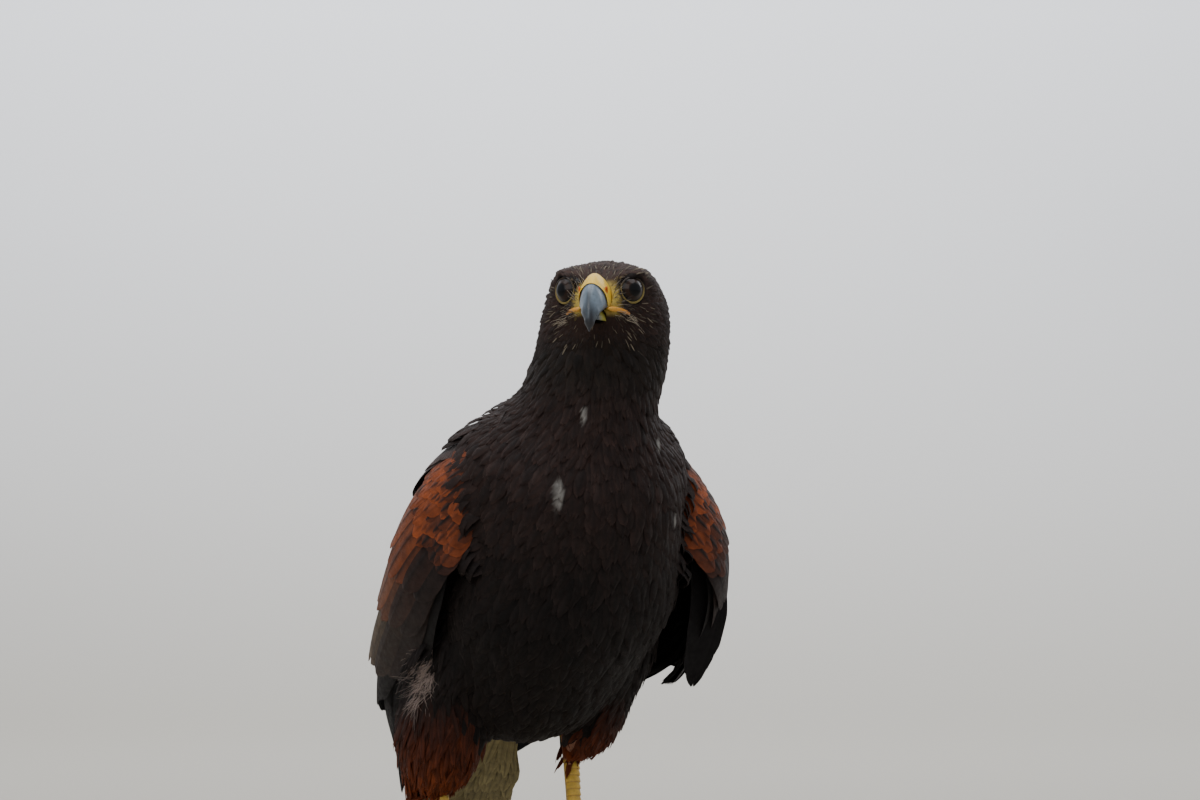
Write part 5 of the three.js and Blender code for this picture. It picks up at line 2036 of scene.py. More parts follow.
@dataclass
class Face:
    """Eyes, lids, cere, bill, lips, nostrils and bristles."""

    stance: Stance
    bench: Bench
    eye_at: tuple[float, float, float] = (13.6, -16.5, 9.2)
    eye_radius: float = 8.3
    eye_turn: float = 40.0
    ridge: tuple = ((-27, 16), (-35, 16.6), (-42, 15), (-49, 10.2), (-54, 3), (-56, -5), (-55.4, -12))
    edge: tuple = ((-24, 1.5), (-32, 0.8), (-39, 0.2), (-45, -1), (-49.6, -3.4), (-53, -8), (-54.8, -12.4))
    bill_half: tuple = (7.6, 7.3, 6.9, 6.1, 4.6, 2.5, 0.35)
    lower_ridge: tuple = ((-22, 0.2), (-30, 0.2), (-38, -0.2), (-44, -1.7), (-48, -4.2))
    lower_edge: tuple = ((-22, -7), (-30, -6.8), (-38, -6.6), (-44, -6.4), (-47.4, -6))
    lower_half: tuple = (6.2, 5.8, 5, 3.8, 1.4)
    cere_low: float = 0.34
    cere_high: float = 0.47
    narrow: float = 0.2

    def socket(self, side: int) -> Array:
        """Returns an eye's middle in the head's frame."""
        return np.array(self.eye_at) * [side, 1, 1]

    def _axis(self, side: int) -> Array:
        """Returns the way that an eye looks, in the head's frame."""
        a = math.radians(self.eye_turn)
        return unit(np.array([side * math.sin(a), -math.cos(a), 0.02]))

    def from_eye(self, q: Array) -> Array:
        """Measures how far places lie from the nearer eye's axis.

        Args:
            q: Places in the head's frame.

        Returns:
            A distance for each.
        """
        away = np.full(len(q), 1e3)
        for side in SIDES:
            off = q - self.socket(side)
            ahead = off @ self._axis(side)
            across = np.linalg.norm(off - ahead[:, None] * self._axis(side), axis=1)
            away = np.where(ahead > 0, np.minimum(away, across), away)
        return away

    def eyes(self) -> None:
        """Makes each eye with a wide pupil, a dark iris and a slightly raised cornea."""
        finish = EyeFinish("eye_wet").material()
        rings, sides, pole = 36, 48, 0.02
        polar = np.linspace(pole, math.pi - pole, rings)
        turn = 2 * math.pi * np.arange(sides) / sides
        angle = np.concatenate([np.repeat(polar, sides), [0.0, math.pi]])
        pupil, iris = np.array([0.0012, 0.001, 0.001]), np.array([0.022, 0.009, 0.004])
        limb = np.array([0.004, 0.003, 0.002])
        colours = mix(mix(pupil, iris, smooth(angle, 0.36, 0.42)), limb, smooth(angle, 0.62, 0.76))
        r = self.eye_radius * (1 + 0.05 * smooth(polar, 0.62, 0.3))
        faces = turned(capped_rings(rings, sides))
        for side, hand in SIDES.items():
            centre, axis = self.socket(side), self._axis(side)
            beside = unit(np.cross(axis, [0, 0, 1]))
            over = np.cross(beside, axis)
            ring = (
                axis[None, None] * (np.cos(polar) * r)[:, None, None]
                + beside * (np.sin(polar) * r)[:, None, None] * np.cos(turn)[None, :, None]
                + over * (np.sin(polar) * r)[:, None, None] * np.sin(turn)[None, :, None]
            )
            points = np.vstack([(centre + ring).reshape(-1, 3), centre + axis * r[0], centre - axis * r[-1]])
            made = self.bench.mesh(f"eyeball_{hand}", self.stance.head_point(points), faces, colours)
            self.bench.dress(made, finish, "eye", f"eye_{hand}")
            self._lids(hand, centre, axis, beside, over)

    def _lids(self, hand: str, centre: Array, axis: Array, beside: Array, over: Array) -> None:
        """Makes the yellow ring of the lids, a little flattened above.

        Args:
            hand: The side's name.
            centre: The eye's middle.
            axis: The way that it looks.
            beside: Across the eye.
            over: Up the eye.
        """
        count, sides, widen = 64, 10, 1.04
        turn = 2 * math.pi * np.arange(count) / count
        around = 2 * math.pi * np.arange(sides) / sides
        reach = 6.5 - 0.4 * smooth(np.sin(turn), 0.2, 1.0)
        forward = 5.35 + 0.3 * np.sin(turn).clip(0, 1)
        ring = centre + beside * (np.cos(turn) * reach * widen)[:, None]
        ring = ring + over * (np.sin(turn) * reach)[:, None] + axis * forward[:, None]
        girth = 0.48 + 0.16 * np.clip(-np.sin(turn), 0, 1) + 0.04 * np.sin(turn * 23)
        outward = unit(beside * np.cos(turn)[:, None] + over * np.sin(turn)[:, None])
        points = (
            ring[:, None]
            + outward[:, None] * (girth[:, None] * np.cos(around))[..., None]
            + axis * (girth[:, None] * np.sin(around) * 0.8)[..., None]
        ).reshape(-1, 3)
        faces = turned(ring_quads(count, sides, closed=True))
        yellow, dull = np.array([0.27, 0.2, 0.055]), np.array([0.03, 0.02, 0.013])
        colours = mix(dull, yellow, np.repeat(smooth(np.sin(turn), 0.7, -0.5), sides))
        made = self.bench.mesh(f"lids_{hand}", self.stance.head_point(points), faces, colours)
        finish = BareSkinFinish(f"lid_skin_{hand}", pore_scale=2600.0, roughness=0.4, grime=0.3).material()
        self.bench.dress(made, finish, "cere_skin")

    def _loft(
        self,
        ridge: tuple,
        edge: tuple,
        half: tuple,
        low: Sequence[float],
        high: Sequence[float],
        steps: int,
        grow: float,
    ) -> tuple[Array, list, Array]:
        """Builds part of a bill between its ridge and its cutting edge.

        Args:
            ridge: The upper line as y and z.
            edge: The lower line as y and z.
            half: Half-widths from root to tip.
            low: First and last share along the cutting edge.
            high: First and last share along the ridge.
            steps: How many rings.
            grow: How much fuller than the plain form.

        Returns:
            Points, faces and each point's share along the bill.
        """
        arch = 26
        top = Rail([(0, y, z) for y, z in ridge])
        bottom = Rail([(0, y, z) for y, z in edge])
        angle = math.pi * np.arange(arch + 1) / arch
        bow = np.sin(angle)
        u = np.linspace(0.0, 1.0, steps)[:, None]
        t = (low[0] + (low[1] - low[0]) * u) * (1 - bow) + (high[0] + (high[1] - high[0]) * u) * bow
        a, b = top.at(t), bottom.at(t)
        tall = np.linalg.norm(a - b, axis=-1)
        up = (a - b) / tall[..., None]
        wide = ease(half, t) + grow
        points = b + up * ((tall + grow) * bow**0.8)[..., None]
        points[..., 0] = wide * np.cos(angle) * (1 - self.narrow * bow)
        floor = b[:, :1] + up[:, :1] * (0.15 * tall)[:, :1, None]
        floor[..., 0] = 0.0
        rings = np.concatenate([points, floor], axis=1)
        flat = np.vstack([rings.reshape(-1, 3), rings[0].mean(axis=0), rings[-1].mean(axis=0)])
        share = np.concatenate([np.hstack([t, t[:, :1]]).ravel(), [t[0, 0], t[-1, 0]]])
        return flat, capped_rings(steps, arch + 2), share

    def bill(self) -> None:
        """Makes the cere, the hooked horn and the lower bill."""
        upper = (self.ridge, self.edge, self.bill_half)
        points, faces, _ = self._loft(*upper, (0.0, self.cere_low), (0.0, self.cere_high), 26, 0.5)
        y, z = points[:, 1], points[:, 2]
        swell = np.exp(-(((y + 40.0) / 4.5) ** 2) - ((z - 8.6) / 4.0) ** 2)
        points[:, 0] += np.sign(points[:, 0]) * 0.7 * swell
        yellow, pale = np.array([0.86, 0.53, 0.02]), np.array([0.72, 0.52, 0.09])
        colours = mix(yellow, pale, smooth(z, 6.0, 0.5))
        made = self.bench.mesh("cere_skin", self.stance.head_point(points), faces, colours)
        finish = BareSkinFinish("cere_wax", pore_scale=1300.0, roughness=0.38, grime=0.12).material()
        self.bench.dress(made, finish, "cere_skin", "cere")
        under_cere = 0.03
        low, high = (self.cere_low - under_cere, 1.0), (self.cere_high - under_cere, 1.0)
        points, faces, share = self._loft(*upper, low, high, 48, 0.0)
        grey, dark = np.array([0.15, 0.195, 0.235]), np.array([0.012, 0.012, 0.015])
        colours = mix(grey, dark, smooth(share + 0.02 * np.sin(points[:, 0] * 1.7), 0.6, 0.86))
        streak = smooth(np.abs(points[:, 0] + 0.5), 1.8, 0.3) * smooth(share, 0.5, 0.6)
        colours = mix(colours, grey * 0.35, streak * smooth(share, 0.9, 0.8))
        made = self.bench.mesh("bill_horn", self.stance.head_point(points), faces, colours)
        self.bench.dress(made, HornFinish("horn").material(), "bill_horn", "bill_upper")
        lower = (self.lower_ridge, self.lower_edge, self.lower_half)
        points, faces, share = self._loft(*lower, (0, 1), (0, 1), 24, 0.0)
        green, tip = np.array([0.4, 0.36, 0.06]), np.array([0.12, 0.14, 0.15])
        colours = mix(green, tip, smooth(share, 0.5, 0.8))
        made = self.bench.mesh("bill_under", self.stance.head_point(points), faces, colours)
        finish = BareSkinFinish("under_bill", pore_scale=900.0, roughness=0.4, grime=0.1).material()
        self.bench.dress(made, finish, "cere_skin", "bill_lower")
        self._lips()
        self._nostrils()

    def _lips(self) -> None:
        """Makes the orange edges of the gape."""
        finish = BareSkinFinish("lip_skin", pore_scale=1600.0, roughness=0.36, grime=0.1).material()
        count, sides, flatten = 30, 16, 0.8
        front = ((6.9, -38, -0.4), (8.3, -33.5, -0.6))
        gape = (*front, (10.8, -29.6, -0.9), (14.2, -25.2, -2.0), (17, -20.6, -4.2))
        line = Rail(gape).even(count)
        t = np.linspace(0, 1, count)
        radius = ease([0.6, 1.2, 1.25, 1.0, 0.45], t)
        yellow, orange = np.array([0.75, 0.42, 0.05]), np.array([0.78, 0.27, 0.03])
        colours = mix(yellow, orange, np.concatenate([np.repeat(t, sides), [0.0, 1.0]]) ** 0.7)
        for side, hand in SIDES.items():
            across = np.array([0.3 * side, 0.2, 1.0])
            points, faces = tube(line * np.array([side, 1, 1]), radius, sides, across, flatten)
            made = self.bench.mesh(f"lip_{hand}", self.stance.head_point(points), faces, colours)
            self.bench.dress(made, finish, "cere_skin")

    def _nostrils(self) -> None:
        """Makes each nostril: an orange rim round a slit that is painted near-black, as painted shade in the
        hole.
        """
        finish = BareSkinFinish("nostril_skin", pore_scale=2200.0, roughness=0.45, grime=0.1).material()
        count, sides = 28, 10
        turn = 2 * math.pi * np.arange(count) / count
        around = 2 * math.pi * np.arange(sides) / sides
        orange, dark = [0.62, 0.14, 0.02], [0.02, 0.006, 0.004]
        for side, hand in SIDES.items():
            centre = np.array([side * 6.75, -40.8, 8.4])
            along = unit(np.array([0.0, -0.35, 1.0]))
            out = unit(np.array([side * 1.0, -0.35, 0.25]))
            beside = unit(np.cross(along, out))
            way = along * np.sin(turn)[:, None] * 1.7 + beside * np.cos(turn)[:, None] * 1.0
            ring = centre + way
            outward = unit(way)
            rim = (
                ring[:, None]
                + outward[:, None] * (0.42 * np.cos(around))[None, :, None]
                + out * (0.38 * np.sin(around))[None, :, None]
            ).reshape(-1, 3)
            faces = turned(ring_quads(count, sides, closed=True))
            start = len(rim)
            ends = [centre - out * 0.25, centre - out]
            core = np.vstack([ring - out * 0.1, ring - out, *ends])
            for i in range(count):
                n = (i + 1) % count
                faces.append((start + i, start + n, start + count + n, start + count + i))
                faces.append((start + n, start + i, start + 2 * count))
                faces.append((start + count + i, start + count + n, start + 2 * count + 1))
            # The core that fills the slit is painted near-black: painted shade inside the nostril.
            colours = np.vstack([np.tile(orange, (len(rim), 1)), np.tile(dark, (len(core), 1))])
            points = self.stance.head_point(np.vstack([rim, core]))
            made = self.bench.mesh(f"nostril_{hand}", points, faces, colours)
            self.bench.dress(made, finish, "cere_skin")

    def bristles(self, skin: Skin) -> None:
        """Makes the stiff hairs between bill and eye and at the corners of the mouth.

        Args:
            skin: What they are rooted in.
        """
        rng = np.random.default_rng(17)
        count, white_count, radius = 150, 9, 0.14
        t = np.linspace(0, 1, 6)
        turn = self.stance.head_direction
        hairs: list = []
        tones: list[Array] = []
        for side in SIDES:
            for n in range(count):
                low = n % 3 == 0
                x, y = side * rng.uniform(6, 13), rng.uniform(-33, -22)
                z = rng.uniform(-4, 2) if low else rng.uniform(0, 15)
                at, out, _, _ = skin.tree.find_nearest(Vector(self.stance.head_point([x, y, z])))
                root = np.array(at) - np.array(out) * 0.4
                way = turn([side * rng.uniform(0.2, 0.7), rng.uniform(0.3, 0.9), rng.uniform(-0.5, 0.5)])
                way = unit(way + np.array(out) * rng.uniform(0.3, 0.8))
                length = rng.uniform(3.0, 7.5)
                is_white = n < white_count
                if is_white:
                    corner = [side * rng.uniform(12, 17), rng.uniform(-26, -21), rng.uniform(-7, -3)]
                    root = np.array(skin.tree.find_nearest(Vector(self.stance.head_point(corner)))[0])
                    way = turn([side * 0.8, -0.25 + 0.2 * rng.normal(), -0.4 + 0.2 * rng.normal()])
                    length = rng.uniform(5.0, 9.0)
                bend = turn([0, 0.5, -0.35 if low else 0.3])
                line = root + way * (t * length)[:, None] + bend * ((t**2) * length * 0.5)[:, None]
                hairs.append(tube(line, radius * (1 - 0.85 * t), 4, unit(np.cross(way, [0.1, 0.2, 1.0]))))
                tone = Shade.FLECK if is_white or rng.random() < 0.4 else Shade.BELLY
                tones.append(np.tile(tone.linear(), (len(hairs[-1][0]), 1)))
        made = self.bench.mesh("face_bristles", *gather(hairs), np.vstack(tones))
        finish = HornFinish("bristle", line_scale=500.0, roughness=0.5).material()
        self.bench.dress(made, finish, "brown_feather")

    def build(self, skin: Skin) -> None:
        """Builds the whole face.

        Args:
            skin: The skin that it sits in.
        """
        self.eyes()
        self.bill()
        self.bristles(skin)


@dataclass(frozen=True)
class Toe:
    """One toe's direction and sizes."""

    name: str
    turn: float
    length: float
    girth: float
    claw: float


@dataclass
class Leg:
    """A bare shank with scutes, four toes and four claws."""

    stance: Stance
    bench: Bench
    side: int
    heel: tuple[float, float, float]
    ankle: tuple[float, float, float]
    toes: tuple[Toe, ...] = (
        Toe("hallux", 176, 25, 4.2, 24),
        Toe("inner", 30, 29, 4.3, 22),
        Toe("middle", 0, 44, 4.1, 18),
        Toe("outer", -36, 33, 3.7, 15),
    )
    toe_out: float = 8.0
    sink: float = 0.7
    scute_pitch: float = 3.6

    @property
    def hand(self) -> str:
        """Returns left or right."""
        return SIDES[self.side]

    def _scuted(
        self, line: Array, radius: Array, sides: int, pitch: float, rise: float, across: Array
    ) -> tuple[Array, list, Array]:
        """Builds a tube whose top carries overlapping scutes and whose sides carry small scales.

        Args:
            line: The middle's places.
            radius: A radius for each.
            sides: Corners of each ring.
            pitch: Length of one scute.
            rise: How far a scute's end stands out.
            across: A direction that stays to the side.

        Returns:
            Points, faces and how deep in a groove each point lies.
        """
        run = np.concatenate([[0.0], np.cumsum(np.linalg.norm(np.diff(line, axis=0), axis=1))])
        phase = (run / pitch) % 1.0
        saw = phase**0.7 * (1 - smooth(phase, 0.93, 1.0))
        angle = 2 * math.pi * np.arange(sides) / sides
        front = smooth(np.sin(angle), 0.05, 0.45)
        small_pitch = 0.42 * pitch
        wave = run[:, None] / small_pitch * 2 * math.pi + 3 * angle[None] * (sides / 8)
        small = 0.5 + 0.5 * np.cos(wave)
        lift = rise * (saw[:, None] * front[None] + 0.45 * small * (1 - front[None]))
        points, faces = tube(line, radius[:, None] + lift - rise * 0.5, sides, across)
        groove = np.concatenate([1 - (lift / rise).clip(0, 1).ravel(), [0.5, 0.5]])
        return points, faces, groove

    def _paint(self, groove: Array) -> Array:
        """Returns the yellow of the scales, darker in the grooves."""
        return mix(np.array([0.72, 0.46, 0.075]), np.array([0.42, 0.24, 0.05]), smooth(groove, 0.55, 1.0))

    def shank(self, finish: bpy.types.Material) -> None:
        """Makes the shank.

        Args:
            finish: The leg's skin.
        """
        heel, ankle = self.stance.body_point(self.heel), self.stance.body_point(self.ankle)
        top = heel + np.array([0, -9, 16])
        middle = (heel + ankle) / 2 + np.array([0, -1, 0])
        line = Rail([top, heel, middle, ankle]).even(190)
        t = np.linspace(0, 1, len(line))
        across = self.stance.body_point([1, 0, 0]) - self.stance.body_point([0, 0, 0])
        radius = ease([5.2, 6.1, 4.3, 4.0, 4.3, 5.4], t)
        points, faces, groove = self._scuted(line, radius, 32, self.scute_pitch, 0.7, -across)
        made = self.bench.mesh(f"shank_{self.hand}", points, faces, self._paint(groove))
        self.bench.dress(made, finish, "leg_skin", f"tarsus_{self.hand}")

    def _frame(self, toe: Toe) -> tuple[Array, Array]:
        """Returns a toe's start on the floor and its direction."""
        heading = math.radians(self.stance.body_yaw + self.side * (self.toe_out - toe.turn))
        origin = self.stance.body_point(self.ankle)
        return origin, np.array([math.sin(heading), -math.cos(heading), 0.0])

    def foot(self, finish: bpy.types.Material) -> None:
        """Makes the toes and the ball that they meet in.

        Args:
            finish: The leg's skin.
        """
        floor = 0.02
        forms: list = []
        for toe in self.toes:
            origin, forward = self._frame(toe)
            rest = toe.girth - self.sink
            flat = np.array([origin[0], origin[1], 0.0])
            knuckles = ((toe.length * 0.28, rest + 3.4), (toe.length * 0.62, rest + 0.8))
            stops = ((-1, origin[2] - 3), *knuckles, (toe.length, rest))
            line = Rail([flat + forward * d + np.array([0, 0, h]) for d, h in stops]).even(90)
            t = np.linspace(0, 1, len(line))
            radius = toe.girth * (1.0 - 0.12 * t + 0.09 * np.cos(6 * math.pi * t))
            radius = radius * (1 - 0.35 * smooth(t, 0.93, 1.0))
            across = np.cross(forward, [0, 0, 1])
            forms.append(self._scuted(line, radius, 26, 3.1, 0.55, across))
            forms[-1][0][:, 2] = np.maximum(forms[-1][0][:, 2], floor)
        ankle = self.stance.body_point(self.ankle)
        line = np.linspace(ankle + np.array([0, 0, 3.0]), ankle + np.array([0, 0, -9.5]), 26)
        radius = ease([4.6, 6.2, 7.2, 5.8, 3.0], np.linspace(0, 1, len(line)))
        forms.append(self._scuted(line, radius, 30, 3.4, 0.5, np.array([1.0, 0.0, 0.0])))
        forms[-1][0][:, 2] = np.maximum(forms[-1][0][:, 2], 0.05)
        points, faces = gather(form[:2] for form in forms)
        tones = np.vstack([self._paint(form[2]) for form in forms])
        made = self.bench.mesh(f"toes_{self.hand}", points, faces, tones)
        self.bench.dress(made, finish, "leg_skin", f"foot_{self.hand}")

    def claws(self, finish: bpy.types.Material) -> None:
        """Makes the claws: each arcs up, forwards and down, clear of the floor.

        Args:
            finish: The claws' horn.
        """
        bend, start, clear, steps, sides = 88.0, 120.0, 0.9, 30, 18
        t = np.linspace(0, 1, steps)
        for toe in self.toes:
            origin, forward = self._frame(toe)
            radius = toe.claw / 1.36
            base = np.array([origin[0], origin[1], 0.0]) + forward * (toe.length + toe.girth * 0.1 - 1.2)
            a = np.radians(start - bend * t)
            ahead = radius * (np.cos(a) - math.cos(math.radians(start)))
            up = toe.girth * 1.35 + radius * (np.sin(a) - math.sin(math.radians(start)))
            up = up + max(clear - up.min(), 0.0) * t
            line = base + forward * ahead[:, None] + np.array([0, 0, 1.0]) * up[:, None]
            across = np.cross(forward, [0, 0, 1])
            points, faces = tube(line, ease([3.0, 2.8, 2.1, 1.2, 0.25], t), sides, across)
            points[:, 2] = np.maximum(points[:, 2], 0.3)
            shade = np.concatenate([np.repeat(t, sides), [0.0, 1.0]])
            colours = mix(np.array([0.03, 0.03, 0.034]), np.array([0.008, 0.008, 0.009]), shade)
            made = self.bench.mesh(f"talon_{toe.name}_{self.hand}", points, faces, colours)
            self.bench.dress(made, finish, "claw", f"claw_{toe.name}_{self.hand}")

    def build(self) -> None:
        """Builds shank, foot and claws."""
        finish = BareSkinFinish(
            f"scaled_skin_{self.hand}", pore_scale=1400.0, roughness=0.45, grime=0.3
        ).material()
        self.shank(finish)
        self.foot(finish)
        self.claws(HornFinish(f"claw_horn_{self.hand}", line_scale=340.0, roughness=0.3).material())


@dataclass
class Down:
    """Loose pale barbs between the right thigh and the wing."""

    stance: Stance
    bench: Bench

    def build(self, skin: Skin) -> None:
        """Makes the loose barbs.

        Args:
            skin: What they are rooted in.
        """
        rng = np.random.default_rng(29)
        count, radius = 420, 0.11
        t = np.linspace(0, 1, 7)
        barbs: list = []
        for _ in range(count):
            place = np.array([rng.normal(-60, 2.5), rng.uniform(-50, -30), rng.uniform(106, 134)])
            root = np.array(skin.tree.find_nearest(Vector(place))[0]) + rng.normal(0, 1.0, 3)
            x, y = -0.55 + 0.25 * rng.normal(), -0.35 + 0.2 * rng.normal()
            way = unit(np.array([x, y, -0.7 + 0.35 * rng.normal()]))
            length = rng.uniform(6, 13)
            sway = rng.normal(0, 0.25, 3)
            line = root + way * (t * length)[:, None] + sway * ((t**2) * length)[:, None]
            barbs.append(tube(line, radius * (1 - 0.8 * t), 3, unit(np.cross(way, [0.2, 0.9, 0.1]))))
        made = self.bench.mesh("flank_down", *gather(barbs), Shade.DOWN.linear())
        finish = HornFinish("down_barb", line_scale=400.0, roughness=0.75).material()
        self.bench.dress(made, finish, "white_feather")


@dataclass(frozen=True)
class Lamp:
    """One square soft light, in metres and watts."""

    name: str
    place: tuple[float, float, float]
    aim: tuple[float, float, float]
    size: float
    power: float
    tint: tuple[float, float, float]


@dataclass
class Studio:
    """A pale floor that sweeps up into a wall, soft light and the camera."""

    bench: Bench
    stand_off: float = 1700.0
    pitch: float = 2.0
    aim: tuple[float, float] = (46.0, 261.0)
    focal_pixels: float = 3230.0
    image_width: float = 1200.0
    sensor: float = 36.0

    def camera(self) -> None:
        """Puts the camera where the photograph was taken from."""
        tilt = math.radians(self.pitch)
        data = bpy.data.cameras.new("camera")
        data.sensor_width = self.sensor
        data.lens = self.focal_pixels / self.image_width * self.sensor
        data.clip_start = 0.05
        data.clip_end = 60.0
        made = bpy.data.objects.new("camera", data)
        back, down = self.stand_off * math.cos(tilt), self.stand_off * math.sin(tilt)
        place = np.array([self.aim[0], -back, self.aim[1] - down])
        made.location = (place + self.bench.offset) * MM
        made.rotation_euler = (math.pi / 2 + tilt, 0.0, 0.0)
        bpy.context.scene.collection.objects.link(made)
        bpy.context.scene.camera = made

    def sweep(self) -> None:
        """Makes the floor and the wall as one curved sheet."""
        front, bend, radius, height, half_width, steps = -4.0, 1.2, 1.3, 6.0, 6.0, 12
        profile = [(front, 0.0), (bend, 0.0)]
        for step in range(1, steps + 1):
            a = math.pi / 2 * step / steps
            profile.append((bend + radius * math.sin(a), radius * (1 - math.cos(a))))
        profile.append((bend + radius, height))
        columns = np.linspace(-half_width, half_width, 5)
        points = np.array([[x, y, z] for y, z in profile for x in columns])
        count = len(columns)
        faces = [
            (i * count + k, i * count + k + 1, (i + 1) * count + k + 1, (i + 1) * count + k)
            for i in range(len(profile) - 1)
            for k in range(count - 1)
        ]
        data = bpy.data.meshes.new("studio_sweep")
        data.from_pydata(points.tolist(), [], faces)
        data.polygons.foreach_set("use_smooth", np.ones(len(faces), bool))
        data.materials.append(StudioFinish("studio_ground").material())
        made = bpy.data.objects.new("studio_sweep", data)
        bpy.context.scene.collection.objects.link(made)

    def light(self, lamp: Lamp) -> None:
        """Adds a light.

        Args:
            lamp: What it is and where it hangs.
        """
        data = bpy.data.lights.new(lamp.name, "AREA")
        data.size = lamp.size
        data.energy = lamp.power
        data.color = lamp.tint
        made = bpy.data.objects.new(lamp.name, data)
        made.location = lamp.place
        way = Vector(lamp.aim) - Vector(lamp.place)
        made.rotation_euler = way.to_track_quat("-Z", "Y").to_euler()
        bpy.context.scene.collection.objects.link(made)

    def build(self) -> None:
        """Builds the stage."""
        self.camera()
        self.sweep()
        world = bpy.data.worlds.new("studio_world")
        world.use_nodes = True
        ground = world.node_tree.nodes["Background"]
        ground.inputs["Color"].default_value = (0.86, 0.9, 1.0, 1.0)
        ground.inputs["Strength"].default_value = 0.55
        bpy.context.scene.world = world
        bird, wall = (0.0, 0.0, 0.2), (0.0, 2.5, 0.9)
        for lamp in (
            Lamp("sky", (0.0, 0.2, 2.2), bird, 2.6, 55.0, (0.95, 0.97, 1.0)),
            Lamp("front", (-0.9, -2.0, 1.3), bird, 1.6, 16.0, (1.0, 0.98, 0.95)),
            Lamp("rim", (1.2, 1.3, 1.2), bird, 1.0, 8.0, (0.92, 0.96, 1.0)),
            Lamp("wall", (0.0, 0.7, 1.9), wall, 1.8, 45.0, (0.97, 0.98, 1.0)),
        ):
            self.light(lamp)


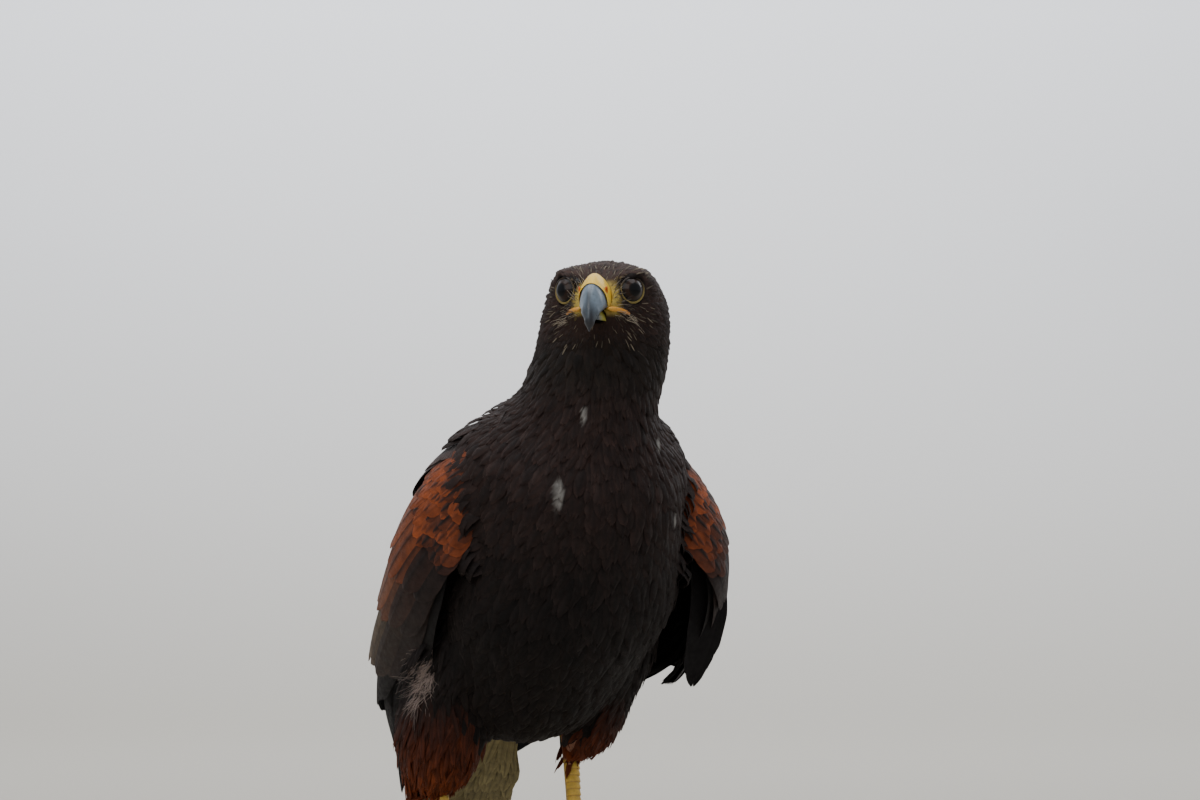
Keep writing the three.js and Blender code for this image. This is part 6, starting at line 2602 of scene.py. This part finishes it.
@dataclass
class Hawk:
    """The whole bird, built from the skin outwards."""

    stance: Stance
    bench: Bench

    def _regions(self, marks: Markings) -> list[CoatRegion]:
        """Lists the coat's regions.

        Args:
            marks: The colours.

        Returns:
            The regions, from head to thighs.
        """
        to_body, to_head = self.stance.to_body, self.stance.to_head
        face = Face(self.stance, self.bench)

        def off_face(p: Array, n: Array) -> Array:
            """Leaves out the eyes, the lores and what the bill covers."""
            q = to_head(p)
            clear = (marks.lore(q) < 0.25) & (face.from_eye(q) > 7.2)
            bill = (np.abs(q[:, 0]) < 8.6) & (q[:, 1] < -27.0) & (q[:, 2] > -7.5) & (q[:, 2] < 17.6)
            return clear & ~bill

        def crown(p: Array, n: Array) -> Array:
            """Keeps the head's upper half."""
            return off_face(p, n) & (to_head(p)[:, 2] >= -4.0)

        def cheeks(p: Array, n: Array) -> Array:
            """Keeps the head's lower half."""
            return off_face(p, n) & (to_head(p)[:, 2] < -4.0)

        def front_high(p: Array, n: Array) -> Array:
            """Keeps the breast."""
            return (to_body(p)[:, 1] < -28.0) & (p[:, 2] >= 176)

        def front_low(p: Array, n: Array) -> Array:
            """Keeps the belly."""
            return (to_body(p)[:, 1] < 8.0) & (p[:, 2] < 176)

        def behind(p: Array, n: Array) -> Array:
            """Keeps back and rump."""
            return ~front_high(p, n) & ~front_low(p, n)

        def trouser(p: Array, n: Array) -> Array:
            """Leaves the left heel bare on its inner side."""
            return ~((p[:, 0] < 34.0) & (p[:, 2] < 95.0) & (n[:, 1] < 0.3))

        def all_of(p: Array, n: Array) -> Array:
            """Keeps everything."""
            return np.ones(len(p), bool)

        head = {"rows": 6, "columns": 3, "colour": marks.head}
        trunk = {"rows": 6, "columns": 5, "colour": marks.trunk}
        front = {**trunk, "by_point": True}
        thigh = {"rows": 7, "columns": 5, "colour": marks.thigh, "uneven": 12.0, "loose": 0.6}
        neck = {**front, "colour": marks.head, "uneven": 11.0}
        return [
            CoatRegion("coat_crown", (HEAD,), 1.7, 7.0, 1.35, lift=0.9, keep=crown, pale=0.7, **head),
            CoatRegion(
                "coat_cheeks", (HEAD,), 1.8, 7.5, 1.4, lift=0.95, keep=cheeks, pale=0.42, uneven=10.0, **head
            ),
            CoatRegion("coat_neck", (NECK,), 2.5, 13.0, 2.2, lift=1.3, keep=all_of, **neck),
            CoatRegion(
                "coat_breast", (TORSO,), 3.3, 16.0, 3.2, lift=1.6, keep=front_high, uneven=11.0, **front
            ),
            CoatRegion(
                "coat_belly", (TORSO,), 3.4, 19.0, 3.1, lift=1.9, keep=front_low, uneven=13.0, **front
            ),
            CoatRegion("coat_back", (TORSO,), 3.9, 19.0, 4.2, lift=1.5, keep=behind, uneven=8.0, **trunk),
            CoatRegion("coat_thigh_left", (THIGH_LEFT,), 2.3, 19.0, 1.7, lift=2.0, keep=trouser, **thigh),
            CoatRegion("coat_thigh_right", (THIGH_RIGHT,), 2.3, 21.0, 1.7, lift=2.2, keep=all_of, **thigh),
        ]

    def _paint(self, skin: Skin, marks: Markings, face: Face) -> None:
        """Paints the skin with the coat's colours, the bare heel and the dark round the eyes.

        Args:
            skin: The skin.
            marks: The colours.
            face: Knows where the eyes are.
        """
        points = skin.points
        owner = skin.owner(points)
        colours = np.where((owner <= NECK)[:, None], marks.head(points), marks.trunk(points))
        colours = np.where((owner >= THIGH_LEFT)[:, None], marks.thigh(points), colours)
        near_eye = smooth(face.from_eye(self.stance.to_head(points)), 9.0, 7.8)
        colours = mix(colours, Shade.BELLY.linear(), near_eye * (owner == HEAD))
        off_heel = np.linalg.norm((points - np.array([30.0, 20.0, 82.0])) * [1, 0.4, 0.6], axis=1)
        heel = smooth(off_heel, 11.0, 8.0) * (owner == THIGH_LEFT) * smooth(skin.normals[:, 1], 0.4, 0.0)
        colours = mix(colours, np.array([0.42, 0.2, 0.13]), heel)
        data = skin.made.data
        paint = data.color_attributes.new("plumage", "FLOAT_COLOR", "POINT")
        rgba = np.hstack([colours, np.ones((len(colours), 1))])
        paint.data.foreach_set("color", rgba.astype(np.float32).ravel())
        data.polygons.foreach_set("use_smooth", np.ones(len(data.polygons), bool))

    def build(self) -> None:
        """Builds every part in order."""
        skin = Skin(self.stance, self.bench)
        skin.build()
        marks = Markings(self.stance)
        face = Face(self.stance, self.bench)
        self._paint(skin, marks, face)
        self.bench.dress(skin.made, SkinFinish("down_ground").material(), "brown_feather", *FLESH)
        face.build(skin)
        for side in SIDES:
            Wing(self.stance, self.bench, side).build()
        Tail(self.stance, self.bench).build()
        Leg(self.stance, self.bench, 1, (41, 24, 88), (44, 2, 13)).build()
        Leg(self.stance, self.bench, -1, (-30, 24, 88), (-34, 2, 13)).build()
        coat = Coat(self.stance, self.bench, skin, marks)
        for region in self._regions(marks):
            coat.lay(region)
        Down(self.stance, self.bench).build(skin)


def find_offset(stance: Stance) -> Array:
    """Finds how the bird's frame sits in the row frame, from the eyes of the solids.

    Args:
        stance: How the head is turned.

    Returns:
        What is added to a place in millimetres.
    """
    face = Face(stance, Bench(np.zeros(3)))
    found = []
    for side, hand in SIDES.items():
        low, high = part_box(f"eye_{hand}")
        found.append((np.array(low) + np.array(high)) / 2 / MM - stance.head_point(face.socket(side)))
    return np.mean(found, axis=0)


def main() -> None:
    """Builds the hawk and its stage."""
    logging.basicConfig(level=logging.INFO, format="%(name)s %(message)s")
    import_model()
    stance = Stance()
    bench = Bench(find_offset(stance))
    LOG.info("offset in mm: %s", np.round(bench.offset, 2))
    Hawk(stance, bench).build()
    Studio(bench).build()


if __name__ == "__main__":
    main()
